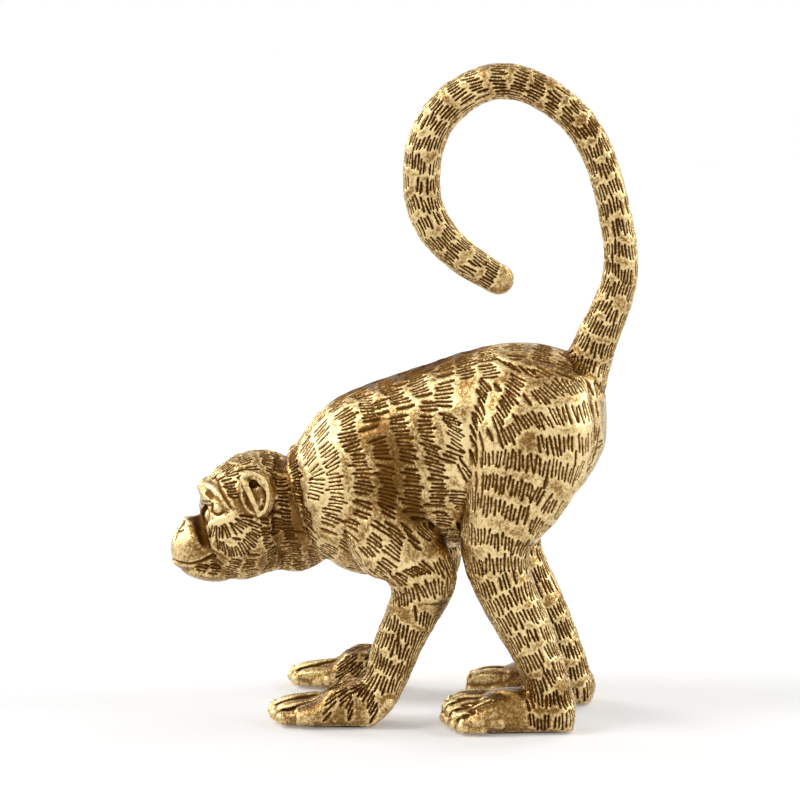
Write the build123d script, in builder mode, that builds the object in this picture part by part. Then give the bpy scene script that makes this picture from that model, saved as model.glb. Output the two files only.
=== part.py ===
"""Cast monkey figurine, bending forward on flat hands and feet, with its tail curled over its back.

The figure is seven gilt castings, joined at flat faces on steel pins: the torso with its upper arms
and haunches, the head, two forearms with hands, two shins with feet, and the tail round its wire.
It stands on four felt pads. It faces -X, its left side is -Y, and Z is up from the floor.
"""
from build123d import *
from math import cos, radians, sin
import os

# Whole figure, in millimetres
back_height = 162.0
body_length = 130.0
body_depth = 82.0
body_width = 62.0
front_reach = 41.1

# Neck and head
neck_depth = 49.5
neck_width = 41.0
neck_length = 4.2
head_height = 85.0
head_length = 56.6
head_turn = 20.0
skull_depth = 57.0
skull_width = 46.0
muzzle_depth = 27.6
muzzle_width = 30.0
jaw_depth = 12.8
jaw_width = 25.0
brow_width = 19.0
brow_depth = 7.5
brow_slope = 24.0
bridge_height = 22.0
bridge_width = 8.0
cheek_height = 18.0
cheek_width = 12.0
eye_diameter = 7.6
socket_diameter = 9.6
nostril_diameter = 2.6
nostril_depth = 5.0
ear_height = 19.5
ear_length = 15.5
ear_thickness = 8.0
ear_rim = 2.0
ear_flare = 22.0
ear_tilt = 14.0

# Arms and hands
arm_spread = 23.0
hand_spread = 28.0
upper_arm_depth = 37.0
upper_arm_width = 28.0
forearm_depth = 21.5
forearm_width = 20.5
right_arm_lead = 5.0
hand_length = 49.5
hand_width = 27.0
hand_height = 23.5
hand_turn = 4.0
finger_diameter = 7.4
thumb_diameter = 6.4
thumb_length = 20.0

# Legs and feet
leg_spread = 21.0
haunch_depth = 58.0
haunch_width = 36.0
shin_depth = 23.0
shin_width = 22.0
foot_length = 58.5
foot_width = 27.0
foot_height = 17.0
foot_turn = 7.0
right_foot_trail = 3.4
toe_diameter = 7.6

# Tail: the span of its curl, and the rise from its root in the rump
tail_span = 84.5
tail_rise = 131.0
tail_root_diameter = 22.5
tail_diameter = 16.8
tail_tip_diameter = 13.2

# Pins between castings, and the pads
neck_pin_diameter = 8.0
neck_pin_length = 30.0
limb_pin_diameter = 5.0
limb_pin_length = 26.0
tail_wire_diameter = 4.0
glue_gap = 0.05
pad_thickness = 1.0
pad_inset = 2.6

os.makedirs("parts", exist_ok=True)


def axis_plane(x, y, z, pitch):
    """Plane across a limb at (x, y, z). Its normal points along the limb, pitch degrees above +X."""
    along = (cos(radians(pitch)), 0, sin(radians(pitch)))
    across = (-sin(radians(pitch)), 0, cos(radians(pitch)))
    return Plane(origin=(x, y, z), x_dir=across, z_dir=along)


def body_plane(x_share, y, z_share, pitch):
    """Plane at a share of body_length behind the neck and a share of back_height above the floor."""
    return axis_plane(body_length * x_share - front_reach, y, back_height * z_share, pitch)


def ellipsoid(length, width, height):
    """Solid ellipsoid about the origin, from its three overall sizes."""
    with BuildPart() as form:
        Sphere(1)
        scale(by=(length / 2, width / 2, height / 2))
    return form.part


def digit(length, diameter, tip_share=0.84):
    """Finger or toe that points along -X from the origin, tapering to a round tip."""
    root_radius = diameter / 2
    tip_radius = root_radius * tip_share
    shank = length - tip_radius
    with BuildPart() as form:
        with BuildSketch(Plane.XY):
            with BuildLine():
                root = CenterArc((0, 0), root_radius, 0, 90)
                Line(root @ 1, (-shank, tip_radius))
                tip = CenterArc((-shank, 0), tip_radius, 90, 90)
                Line(tip @ 1, root @ 0)
            make_face()
        revolve(axis=Axis.X)
    return form.part


# Trunk stations: x and z as shares of the body, half sizes as shares of its depth and width, pitch
trunk_shares = [
    (0.000, 0.553, 0.650, 0.71, 21),
    (0.090, 0.573, 0.855, 0.87, 18),
    (0.150, 0.598, 0.950, 0.94, 15),
    (0.230, 0.625, 0.990, 0.98, 12),
    (0.415, 0.686, 0.975, 1.00, 9),
    (0.600, 0.732, 1.000, 0.97, 7),
    (0.770, 0.768, 0.915, 0.92, 4),
    (0.888, 0.785, 0.735, 0.76, 0),
    (0.956, 0.805, 0.510, 0.55, 0),
    (0.986, 0.805, 0.250, 0.27, 0),
]

# Limb stations: x and z as above, y as a share of the spread, then depth, width and pitch
thigh_shares = [
    (0.805, 0.952, 0.57, 0.34, 0.28, -98),
    (0.788, 0.907, 0.71, 0.70, 0.61, -96),
    (0.760, 0.833, 0.86, 0.90, 0.86, -94),
    (0.752, 0.741, 0.90, 0.93, 1.00, -95),
    (0.728, 0.648, 0.95, 0.81, 1.00, -100),
    (0.686, 0.556, 1.00, 0.65, 0.89, -102),
    (0.650, 0.463, 1.00, 0.50, 0.75, -92),
]
shin_shares = [
    (0.677, 0.383, 1.00, 1.14, 1.09, -80),
    (0.741, 0.278, 1.00, 1.01, 1.02, -67),
    (0.797, 0.182, 1.00, 0.87, 0.92, -67),
    (0.832, 0.099, 1.00, 0.85, 0.88, -72),
    (0.850, 0.055, 1.00, 0.80, 0.80, -80),
]
upper_arm_shares = [
    (0.150, 0.690, 0.60, 0.62, 0.42, -60),
    (0.205, 0.606, 0.72, 0.98, 0.86, -57),
    (0.285, 0.512, 0.84, 1.00, 1.00, -54),
    (0.368, 0.438, 0.94, 0.93, 1.00, -62),
    (0.411, 0.382, 0.98, 0.80, 0.89, -88),
]
forearm_shares = [
    (0.389, 0.309, 1.00, 1.06, 1.06, -110),
    (0.339, 0.222, 1.07, 0.97, 1.00, -114),
    (0.311, 0.160, 1.13, 0.91, 0.95, -114),
    (0.281, 0.096, 1.19, 0.84, 0.96, -116),
    (0.253, 0.060, 1.22, 0.74, 0.90, -120),
]

# Joint faces across the neck, the limbs and the tail
neck_joint = body_plane(0, 0, 0.553, 21)
arm_joint = body_plane(0.402, -arm_spread, 0.340, -98)
leg_joint = body_plane(0.664, -leg_spread, 0.430, -88)
tail_joint = body_plane(0.917, 0, 0.962, 66)
floor_face = Plane.XY.offset(pad_thickness)


def limb(stations, spread, depths, widths):
    """Left limb lofted through its stations."""
    with BuildPart() as form:
        for (x, z, y, d, w, pitch), depth, width in zip(stations, depths, widths):
            with BuildSketch(body_plane(x, -spread * y, z, pitch)):
                Ellipse(depth * d / 2, width * w / 2)
        loft()
    return form.part


def piece_of(form, joint, side):
    """The part of a form on one side of a joint face."""
    with BuildPart() as piece:
        add(form)
        split(bisect_by=joint, keep=side)
    return piece.part


def pin(joint, diameter, length):
    """Round pin centred across a joint face."""
    with BuildPart() as form:
        with Locations(joint.location):
            Cylinder(diameter / 2, length)
    return form.part


def bore(joint, diameter, length):
    """Hole for such a pin, larger all round by the glue gap."""
    return pin(joint, diameter + 2 * glue_gap, length + 2 * glue_gap)


def right_of(form, lead=0):
    """Mirror image of a left limb form, set forward by a lead."""
    with BuildPart() as image:
        mirror(form, about=Plane.XZ)
    return image.part.moved(Location((-lead, 0, 0)))


def leg_with(trail):
    """Left leg form whose foot stands back from its place by a trail."""
    knee_share = 0.430
    shins = [(x + trail / body_length * (1 - z / knee_share), z, *rest) for x, z, *rest in shin_shares]
    return limb(
        thigh_shares + shins,
        leg_spread,
        [haunch_depth] * len(thigh_shares) + [shin_depth] * len(shin_shares),
        [haunch_width] * len(thigh_shares) + [shin_width] * len(shin_shares),
    )


leg_form = leg_with(0)
arm_form = limb(
    upper_arm_shares + forearm_shares,
    arm_spread,
    [upper_arm_depth] * len(upper_arm_shares) + [forearm_depth] * len(forearm_shares),
    [upper_arm_width] * len(upper_arm_shares) + [forearm_width] * len(forearm_shares),
)
leg_bore = bore(leg_joint, limb_pin_diameter, limb_pin_length)
arm_bore = bore(arm_joint, limb_pin_diameter, limb_pin_length)
neck_bore = bore(neck_joint, neck_pin_diameter, neck_pin_length)

# Tail curve: shares of its span behind the root, and of its rise above it
tail_shares = [
    (-0.030, 0.000),
    (0.002, 0.079),
    (0.058, 0.185),
    (0.118, 0.276),
    (0.163, 0.366),
    (0.172, 0.475),
    (0.141, 0.589),
    (0.097, 0.701),
    (-0.012, 0.853),
    (-0.192, 0.960),
    (-0.431, 1.008),
    (-0.640, 0.958),
    (-0.781, 0.853),
    (-0.829, 0.692),
    (-0.787, 0.567),
    (-0.665, 0.470),
    (-0.437, 0.375),
]
tail_root_x = body_length * 0.917 - front_reach
tail_root_z = back_height * 0.862
with BuildLine(Plane.XZ) as tail_curve:
    Spline(*[(tail_root_x + tail_span * x, tail_root_z + tail_rise * z) for x, z in tail_shares])
tail_path = tail_curve.edges()[0]

with BuildPart() as tail_form:
    middle_diameter = (tail_diameter + tail_tip_diameter) / 2
    tail_diameters = (tail_root_diameter, tail_diameter, middle_diameter, tail_tip_diameter)
    for share, diameter in zip((0, 0.13, 0.56, 1), tail_diameters):
        with BuildSketch(Plane(origin=tail_path @ share, z_dir=tail_path % share)):
            Circle(diameter / 2)
    sweep(path=tail_path, multisection=True)
    with Locations(tail_path @ 1):
        Sphere(tail_tip_diameter / 2)


def tail_core(start, end, radius):
    """Round bar along the tail curve between two shares of its length."""
    path = tail_path.trim(start, end)
    with BuildPart() as form:
        with BuildSketch(Plane(origin=path @ 0, z_dir=path % 0)):
            Circle(radius)
        sweep(path=path)
    return form.part


wire_bore = tail_core(0.018, 0.862, tail_wire_diameter / 2 + glue_gap)

# Torso with its upper arms, haunches and the tail's root
thigh = piece_of(leg_form, leg_joint, Keep.BOTTOM)
shoulder = piece_of(arm_form, arm_joint, Keep.BOTTOM)
with BuildPart() as torso:
    for x, z, d, w, pitch in trunk_shares:
        with BuildSketch(body_plane(x, 0, z, pitch)):
            Ellipse(body_depth * d / 2, body_width * w / 2)
    loft()
    add([thigh, right_of(thigh)])
    add([shoulder, right_of(shoulder, right_arm_lead)])
    add(piece_of(tail_form.part, tail_joint, Keep.BOTTOM))
    add([leg_bore, right_of(leg_bore)], mode=Mode.SUBTRACT)
    add([arm_bore, right_of(arm_bore, right_arm_lead)], mode=Mode.SUBTRACT)
    add([neck_bore, wire_bore], mode=Mode.SUBTRACT)
torso.part.label = "torso"
export_step(torso.part, "parts/torso.step")

# Head stations: distance from the neck, height above head_height, then depth and width
skull_shares = [
    (0.170, 0.015, 0.910, 0.930),
    (0.353, 0.010, 0.975, 1.000),
    (0.548, -0.030, 0.925, 0.935),
    (0.678, -0.036, 0.747, 0.804),
    (0.750, -0.036, 0.519, 0.620),
    (0.775, -0.036, 0.281, 0.340),
]
muzzle_shares = [
    (0.540, -0.235, 0.960, 1.000),
    (0.781, -0.212, 0.930, 0.900),
    (0.882, -0.218, 0.820, 0.833),
    (0.966, -0.248, 0.543, 0.600),
    (1.000, -0.272, 0.254, 0.300),
]
jaw_shares = [
    (0.540, -0.375, 1.000, 1.000),
    (0.797, -0.375, 0.970, 0.840),
    (0.898, -0.368, 0.625, 0.560),
    (0.933, -0.368, 0.280, 0.280),
]
head_pivot = Location((-front_reach - neck_length, 0, head_height))


def head_plane(reach, rise, turn):
    """Plane across the head at a share of its length from the neck, turned to the left."""
    place = head_pivot * Location((0, 0, 0), (0, 0, turn)) * Location((-head_length * reach, 0, skull_depth * rise))
    back = (cos(radians(turn)), sin(radians(turn)), 0)
    return Plane(origin=place.position, x_dir=(0, 0, 1), z_dir=back)


def head_loft(stations, depth, width):
    """Form lofted forward through the turned head's stations."""
    with BuildPart() as form:
        for reach, rise, d, w in stations:
            with BuildSketch(head_plane(reach, rise, head_turn)):
                Ellipse(depth * d / 2, width * w / 2)
        loft()
    return form.part


def ear():
    """Left ear as an open bowl inside a raised rim, its hollow facing -Y."""
    with BuildPart() as form:
        add(ellipsoid(ear_length, ear_thickness, ear_height))
        with Locations((0, -ear_thickness / 2, 0)):
            add(
                ellipsoid(ear_length - 2 * ear_rim, ear_thickness, ear_height - 2 * ear_rim),
                mode=Mode.SUBTRACT,
            )
    return form.part


with BuildPart() as head:
    with BuildSketch(neck_joint):
        Ellipse(neck_depth / 2, neck_width / 2)
    for reach, rise, d, w in skull_shares:
        turn = head_turn * min(1, reach / skull_shares[1][0])
        with BuildSketch(head_plane(reach, rise, turn)):
            Ellipse(skull_depth * d / 2, skull_width * w / 2)
    loft()
    with Locations(head_pivot * Location((0, 0, 0), (0, 0, head_turn))):
        for side in (-1, 1):
            with Locations((-head_length * 0.735, side * skull_width * 0.24, skull_depth * 0.035)):
                Sphere(socket_diameter / 2, mode=Mode.SUBTRACT)
    add(head_loft(muzzle_shares, muzzle_depth, muzzle_width))
    add(head_loft(jaw_shares, jaw_depth, jaw_width))
    with Locations(head_pivot * Location((0, 0, 0), (0, 0, head_turn))):
        with Locations(Location((-head_length * 0.692, 0, skull_depth * 0.02), (0, -12, 0))):
            add(ellipsoid(bridge_width, bridge_width, bridge_height))
        for side in (-1, 1):
            with Locations((-head_length * 0.670, side * skull_width * 0.25, skull_depth * 0.030)):
                Sphere(eye_diameter / 2)
            brow_place = (-head_length * 0.700, side * skull_width * 0.20, skull_depth * 0.175)
            with Locations(Location(brow_place, (-side * brow_slope, 0, -side * brow_slope))):
                add(ellipsoid(brow_depth, brow_width, brow_depth))
            with Locations((-head_length * 0.60, side * skull_width * 0.30, -skull_depth * 0.10)):
                add(ellipsoid(cheek_height, cheek_width, cheek_height))
            nostril_place = (-head_length * 0.945, side * muzzle_width * 0.13, -skull_depth * 0.130)
            with Locations(Location(nostril_place, (0, 50, side * 20))):
                Cylinder(nostril_diameter / 2, nostril_depth, mode=Mode.SUBTRACT)
            ear_face = 90 + side * (90 + ear_flare)
            ear_place = (-head_length * 0.380, side * skull_width * 0.49, skull_depth * 0.215)
            with Locations(Location(ear_place, (0, -ear_tilt, ear_face))):
                add(ear())
    split(bisect_by=neck_joint, keep=Keep.BOTTOM)
    add(neck_bore, mode=Mode.SUBTRACT)
head.part.label = "head"
export_step(head.part, "parts/head.step")

# Hand and foot stations: distance from the heel, height, and width
hand_shares = [
    (0.030, 0.36, 0.50),
    (0.130, 0.80, 0.78),
    (0.300, 0.98, 0.86),
    (0.450, 0.68, 0.95),
    (0.600, 0.44, 1.00),
    (0.700, 0.36, 0.94),
]
foot_shares = [
    (0.010, 0.52, 0.42),
    (0.080, 0.90, 0.66),
    (0.250, 1.00, 0.76),
    (0.450, 1.00, 0.84),
    (0.620, 0.88, 1.00),
    (0.780, 0.60, 0.96),
]

# Digits from the inner side out: place across the width, reach along the length, and size
finger_shares = [
    (0.320, 0.93, 0.96),
    (0.110, 1.00, 1.00),
    (-0.105, 0.97, 0.98),
    (-0.310, 0.89, 0.90),
]
toe_shares = [
    (0.330, 0.97, 1.15),
    (0.100, 1.00, 1.00),
    (-0.080, 0.97, 0.94),
    (-0.250, 0.93, 0.90),
    (-0.390, 0.87, 0.84),
]


def extremity(stations, digits, root_share, length, width, height, digit_diameter):
    """Left hand or foot with its digits, pointing along -X, its heel at the origin on the floor face."""
    with BuildPart() as form:
        for reach, high, wide in stations:
            centre = (-length * reach, 0, height * high * 0.40)
            with BuildSketch(Plane(origin=centre, x_dir=(0, 1, 0), z_dir=(-1, 0, 0))):
                Ellipse(width * wide / 2, height * high * 0.60)
        loft()
        for side, reach, size in digits:
            diameter = digit_diameter * size
            with Locations((-length * root_share, width * side, diameter * 0.42)):
                add(digit(length * (reach - root_share), diameter))
    return form.part


hand_heel = Location((body_length * 0.284 - front_reach, -hand_spread, pad_thickness), (0, 0, hand_turn))
foot_heel = Location((body_length * 0.923 - front_reach, -leg_spread, pad_thickness), (0, 0, foot_turn))
hand_form = extremity(hand_shares, finger_shares, 0.52, hand_length, hand_width, hand_height, finger_diameter)
foot_form = extremity(foot_shares, toe_shares, 0.68, foot_length, foot_width, foot_height, toe_diameter)
thumb_place = Location((-hand_length * 0.22, hand_width * 0.36, hand_height * 0.42), (0, -18, -10))

def pad(heel, length, width, heel_share, ball_share, heel_wide, ball_wide):
    """Felt pad under a left hand or foot, rounded at heel and ball, inset from the edge of the sole."""
    with BuildPart() as form:
        with BuildSketch(Plane.XY) as outline:
            for reach, wide in ((heel_share, heel_wide), (ball_share, ball_wide)):
                with Locations((-length * reach, 0)):
                    Circle(width * wide / 2 - pad_inset)
            make_hull()
        extrude(amount=pad_thickness)
    return form.part.moved(heel * Location((0, 0, -pad_thickness)))


# Left forearm with its hand
with BuildPart() as left_arm:
    add(piece_of(arm_form, arm_joint, Keep.TOP))
    with Locations(hand_heel):
        add(hand_form)
        with Locations(thumb_place):
            add(digit(thumb_length, thumb_diameter))
    split(bisect_by=floor_face, keep=Keep.TOP)
    add(arm_bore, mode=Mode.SUBTRACT)



def shin_casting(form, trail):
    """Left shin with its foot, which stands back from its place by a trail."""
    with BuildPart() as casting:
        add(piece_of(form, leg_joint, Keep.TOP))
        with Locations(Location((trail, 0, 0)) * foot_heel):
            add(foot_form)
        split(bisect_by=floor_face, keep=Keep.TOP)
        add(leg_bore, mode=Mode.SUBTRACT)
    return casting.part


foot_pad = pad(foot_heel, foot_length, foot_width, 0.17, 0.62, 0.52, 0.74)

# Tail, cast round its wire
with BuildPart() as tail:
    add(piece_of(tail_form.part, tail_joint, Keep.TOP))
    add(wire_bore, mode=Mode.SUBTRACT)
tail.part.label = "tail"
export_step(tail.part, "parts/tail.step")


# Pieces that come in pairs, with the lead of the right one of each pair
paired_pieces = {
    "arm": (left_arm.part, right_arm_lead),
    "arm_pin": (pin(arm_joint, limb_pin_diameter, limb_pin_length), right_arm_lead),
    "hand_pad": (pad(hand_heel, hand_length, hand_width, 0.20, 0.55, 0.60, 0.73), right_arm_lead),
    "leg_pin": (pin(leg_joint, limb_pin_diameter, limb_pin_length), 0),
}
pieces = {
    "neck_pin": pin(neck_joint, neck_pin_diameter, neck_pin_length),
    "tail_wire": tail_core(0.02, 0.86, tail_wire_diameter / 2),
    "left_leg": shin_casting(leg_form, 0),
    "left_foot_pad": foot_pad,
    "right_leg": right_of(shin_casting(leg_with(right_foot_trail), right_foot_trail)),
    "right_foot_pad": right_of(foot_pad, -right_foot_trail),
}
for name, (form, lead) in paired_pieces.items():
    pieces[f"left_{name}"] = form
    pieces[f"right_{name}"] = right_of(form, lead)
for name, form in pieces.items():
    form.label = name
    export_step(form, f"parts/{name}.step")
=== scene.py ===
"""Gilt monkey figurine: its cast skin with combed fur, gilding with wear, painted highlights
and painted shade, studio and camera.
"""

import logging
import math
import random
from collections.abc import Callable, Iterable, Sequence
from dataclasses import dataclass, replace
from enum import Enum
from functools import cached_property, partial
from itertools import product

import bmesh
import bpy
import numpy as np
from mathutils import Matrix, Vector, noise
from mathutils.bvhtree import BVHTree
from mathutils.kdtree import KDTree


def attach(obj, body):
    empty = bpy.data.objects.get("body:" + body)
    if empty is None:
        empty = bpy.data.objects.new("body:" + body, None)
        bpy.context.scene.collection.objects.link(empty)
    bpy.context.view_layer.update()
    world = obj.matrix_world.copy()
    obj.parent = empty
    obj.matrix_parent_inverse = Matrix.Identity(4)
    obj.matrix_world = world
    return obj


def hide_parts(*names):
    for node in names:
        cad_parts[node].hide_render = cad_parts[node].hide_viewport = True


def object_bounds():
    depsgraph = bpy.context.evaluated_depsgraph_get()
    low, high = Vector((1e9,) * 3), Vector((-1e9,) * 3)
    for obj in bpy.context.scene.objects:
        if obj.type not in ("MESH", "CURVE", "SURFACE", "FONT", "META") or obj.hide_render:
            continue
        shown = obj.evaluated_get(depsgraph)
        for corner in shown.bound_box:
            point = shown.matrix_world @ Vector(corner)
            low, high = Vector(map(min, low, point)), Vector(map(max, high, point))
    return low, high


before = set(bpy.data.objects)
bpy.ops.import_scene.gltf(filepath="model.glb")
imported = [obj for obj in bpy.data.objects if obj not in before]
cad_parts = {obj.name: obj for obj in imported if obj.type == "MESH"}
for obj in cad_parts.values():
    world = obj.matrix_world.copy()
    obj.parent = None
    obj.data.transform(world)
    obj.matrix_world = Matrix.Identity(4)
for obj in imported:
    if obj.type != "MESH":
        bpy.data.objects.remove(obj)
cad_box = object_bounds()

log = logging.getLogger("monkey")

Place = tuple[float, float, float]
Row = tuple[Place, ...]
Sections = tuple[tuple[float, ...], ...]
Colour = tuple[float, float, float, float]
Element = bmesh.types.BMVert | bmesh.types.BMEdge | bmesh.types.BMFace

MM = 0.001
BODY = "root"

# Numbers that the gilding reads from the vertices, and the first one's value far from any stroke
COMB_MARK = "comb"
# Dark glaze of the tool marks, with painted shade and painted highlights from the spots added
GLAZE_AND_PAINTED_LIGHT_MARK = "glaze_and_painted_light"
RELIEF_MARK = "relief"
NO_STROKE = 5.0

# Spacing of the vertices on the skins, and the rounds of smoothing that take off their steps
BARE_VOXEL = 1.2 * MM
MASTER_VOXEL = 0.8 * MM
TORSO_VOXEL = 0.60 * MM
PIECE_VOXEL = 0.46 * MM
SMOOTH_ROUNDS = 6
RELIEF_ROUNDS = 14

# Share of that spacing from which vertices are drawn to the middle of a stroke
GATHER = 0.64

# Gap that merges the loose triangles of a packed casting
MERGE_GAP = 0.002 * MM

# Length of torso left on a smaller casting while its skin is made
STUMP = 26 * MM

MOST_TRIANGLES = 194_000

# How far the right arm stands ahead of the left and the right foot behind it, in millimetres
ARM_LEAD = 5.0
FOOT_TRAIL = 3.4


class Side(Enum):
    """Side of the animal, with the sign of its Y places."""

    LEFT = -1
    RIGHT = 1

    def of(self, name: str) -> str:
        """Name of a paired node on this side."""
        return f"{self.name.lower()}_{name}"


def mm(*place: float) -> Vector:
    """Point in metres from its millimetres."""
    return Vector(place) * MM


def smooth_path(points: Sequence[Vector], steps: int) -> list[Vector]:
    """Catmull-Rom line through points.

    Args:
        points: Places that the line passes through.
        steps: Pieces of line between two neighbouring places.

    Returns:
        The places along the line, both ends included.
    """
    ends = [points[0] * 2 - points[1], *points, points[-1] * 2 - points[-2]]
    line = []
    for before, start, end, after in zip(ends, ends[1:], ends[2:], ends[3:]):
        for step in range(steps):
            t = step / steps
            bend = (before * -1 + start * 3 - end * 3 + after) * t ** 3
            bend += (before * 2 - start * 5 + end * 4 - after) * t ** 2
            line.append((bend + (end - before) * t + start * 2) / 2)
    line.append(points[-1].copy())
    return line


@dataclass
class Stroke:
    """One straight comb stroke in the fur.

    Attributes:
        start: First end on the skin.
        end: Last end on the skin.
        half_width: Half of its width at the middle.
        depth: Depth of its groove.
    """

    start: Vector
    end: Vector
    half_width: float
    depth: float


@dataclass
class Mark:
    """One modelling-tool line, cut into the skin or raised from it.

    Attributes:
        path: Places that the line passes near.
        half_width: Half of its width.
        depth: Depth of the cut, or minus the height of a raised line.
        glaze_and_painted_light: Dark glaze left in it, from 0 to 1.
    """

    path: list[Vector]
    half_width: float
    depth: float
    glaze_and_painted_light: float = 0.0


@dataclass
class Spot:
    """Round place of painted shade if its strength is positive, painted highlight if negative."""

    centre: Vector
    radius: float
    strength: float


@dataclass(frozen=True)
class Push:
    """Round place where the form is pushed aside."""

    centre: Vector
    radius: float
    shift: Vector


@dataclass(frozen=True)
class Calm:
    """Round place where steps between forms are smoothed away."""

    centre: Vector
    radius: float
    spread: float


@dataclass(frozen=True)
class Flow:
    """Direction of the hair on the animal's sides.

    Attributes:
        signs: Millimetres along and up, and the hair's slope there, in degrees down towards the
            tail.
        blur: How far one sign reaches, in millimetres.
    """

    signs: tuple[tuple[float, float, float], ...]
    blur: float = 3.0

    def at(self, place: Vector) -> Vector:
        """Direction of the hair at a place."""
        run = Vector()
        for x, z, slope in self.signs:
            gap = math.hypot(place.x / MM - x, place.z / MM - z)
            turn = math.radians(slope)
            run += Vector((math.cos(turn), 0, -math.sin(turn))) / (gap * gap + self.blur ** 2) ** 2
        return run.normalized()


class Links:
    """Edges of a skin, along which places are averaged."""

    def __init__(self, ends: np.ndarray, count: int) -> None:
        """Takes the numbers of the two vertices of each edge, and the count of vertices."""
        self.starts = np.concatenate([ends[:, 0], ends[:, 1]])
        self.others = np.concatenate([ends[:, 1], ends[:, 0]])
        self.count = count
        self.shares = np.bincount(self.starts, minlength=count)

    def means(self, places: np.ndarray) -> np.ndarray:
        """Mean place of each vertex's neighbours."""
        sums = [np.bincount(self.starts, places[self.others, axis], self.count)
                for axis in range(3)]
        return np.column_stack(sums) / self.shares[:, None]


class Skin:
    """Vertices of one casting while they are carved."""

    # Distance from a joint's plane, and beyond its reach, within which a vertex is on its rim
    RIM_GAP = 0.002 * MM
    RIM_REACH = 8 * MM

    def __init__(self, mesh: bpy.types.Mesh, seams: "Sequence[Seam]" = ()) -> None:
        """Reads the places of a mesh, and which of them lie on the rims of its joints."""
        self.mesh = mesh
        self.count = len(mesh.vertices)
        flat = np.empty(self.count * 3, np.float32)
        mesh.vertices.foreach_get("co", flat)
        self.places = flat.reshape(-1, 3).astype(float)
        self.rims: list[tuple[np.ndarray, np.ndarray]] = []
        for seam in seams:
            offset = self.places - np.array(seam.centre)
            outward = np.array(seam.outward)
            on_plane = np.abs(offset @ outward) < self.RIM_GAP
            near_by = np.linalg.norm(offset, axis=1) < seam.reach + self.RIM_REACH
            self.rims.append((np.flatnonzero(on_plane & near_by), outward))

    @cached_property
    def tree(self) -> KDTree:
        """Search tree of the places as they are at its first use."""
        tree = KDTree(self.count)
        for index, place in enumerate(self.places):
            tree.insert(place, index)
        tree.balance()
        return tree

    @cached_property
    def ends(self) -> np.ndarray:
        """Numbers of the two vertices of each edge."""
        pairs = np.empty(len(self.mesh.edges) * 2, np.int32)
        self.mesh.edges.foreach_get("vertices", pairs)
        return pairs.reshape(-1, 2)

    def near(self, centre: Vector, reach: float) -> np.ndarray:
        """Numbers of the vertices within reach of a place."""
        return np.array([hit[1] for hit in self.tree.find_range(centre, reach)], int)

    def normals(self) -> np.ndarray:
        """Unit normals of the vertices as they now stand."""
        self.write()
        flat = np.empty(self.count * 3, np.float32)
        self.mesh.vertices.foreach_get("normal", flat)
        normals = flat.reshape(-1, 3).astype(float)
        for rim, outward in self.rims:
            flatter = normals[rim] - (normals[rim] @ outward)[:, None] * outward
            lengths = np.linalg.norm(flatter, axis=1)
            normals[rim] = flatter / np.maximum(lengths, 1e-6)[:, None]
        return normals

    def write(self) -> None:
        """Puts the places back into the mesh."""
        self.mesh.vertices.foreach_set("co", self.places.astype(np.float32).ravel())
        self.mesh.update()

    def store(self, name: str, values: np.ndarray) -> None:
        """Keeps one number for each vertex as a named attribute."""
        attribute = self.mesh.attributes.new(name, "FLOAT", "POINT")
        attribute.data.foreach_set("value", values.astype(np.float32))

    def push(self, push: Push) -> None:
        """Pushes the form aside around a place."""
        gap = np.linalg.norm(self.places - np.array(push.centre), axis=1) / push.radius
        share = np.clip(1 - gap ** 2, 0, None) ** 2
        self.places += share[:, None] * np.array(push.shift)

    def calm(self, calm: Calm, voxel: float) -> None:
        """Smooths the form around a place, by as much whatever the spacing of its vertices."""
        gap = np.linalg.norm(self.places - np.array(calm.centre), axis=1) / calm.radius
        share = np.clip(1.6 * (1 - gap), 0, 1)
        if not share.any():
            return
        ends = self.ends[(share[self.ends] > 0).any(1)]
        chosen, numbers = np.unique(ends, return_inverse=True)
        links = Links(numbers.reshape(-1, 2), len(chosen))
        moved = self.places[chosen]
        weight = share[chosen][:, None] / 2
        for _ in range(round(4 * (calm.spread / voxel) ** 2)):
            moved += weight * (links.means(moved) - moved)
        self.places[chosen] = moved

    def relief(self) -> np.ndarray:
        """Height of each vertex over the skin smoothed around it, in millimetres."""
        links = Links(self.ends, self.count)
        calm = self.places.copy()
        for _ in range(RELIEF_ROUNDS):
            calm = (calm + links.means(calm)) / 2
        return np.einsum("ij,ij->i", self.places - calm, self.normals()) / MM


def to_segment(places: np.ndarray, start: Vector, end: Vector) -> tuple[np.ndarray, np.ndarray]:
    """Distance of places from a straight piece of line.

    Args:
        places: Rows of x, y and z.
        start: First end.
        end: Last end.

    Returns:
        The distances, and how far along the line each nearest point lies, from 0 to 1.
    """
    origin = np.array(start)
    run = np.array(end) - origin
    along = np.clip((places - origin) @ run / max(run @ run, 1e-12), 0, 1)
    return np.linalg.norm(places - origin - along[:, None] * run, axis=1), along


def add_object(name: str, data: bpy.types.ID) -> bpy.types.Object:
    """New object in the scene."""
    holder = bpy.data.objects.new(name, data)
    bpy.context.scene.collection.objects.link(holder)
    return holder


def mesh_of(form: bmesh.types.BMesh, name: str) -> bpy.types.Mesh:
    """New mesh from a form, which is freed."""
    mesh = bpy.data.meshes.new(name)
    form.to_mesh(mesh)
    form.free()
    return mesh


def surface_of(skin: bpy.types.Mesh) -> BVHTree:
    """Search tree of the faces of a skin."""
    form = bmesh.new()
    form.from_mesh(skin)
    surface = BVHTree.FromBMesh(form)
    form.free()
    return surface


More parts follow.
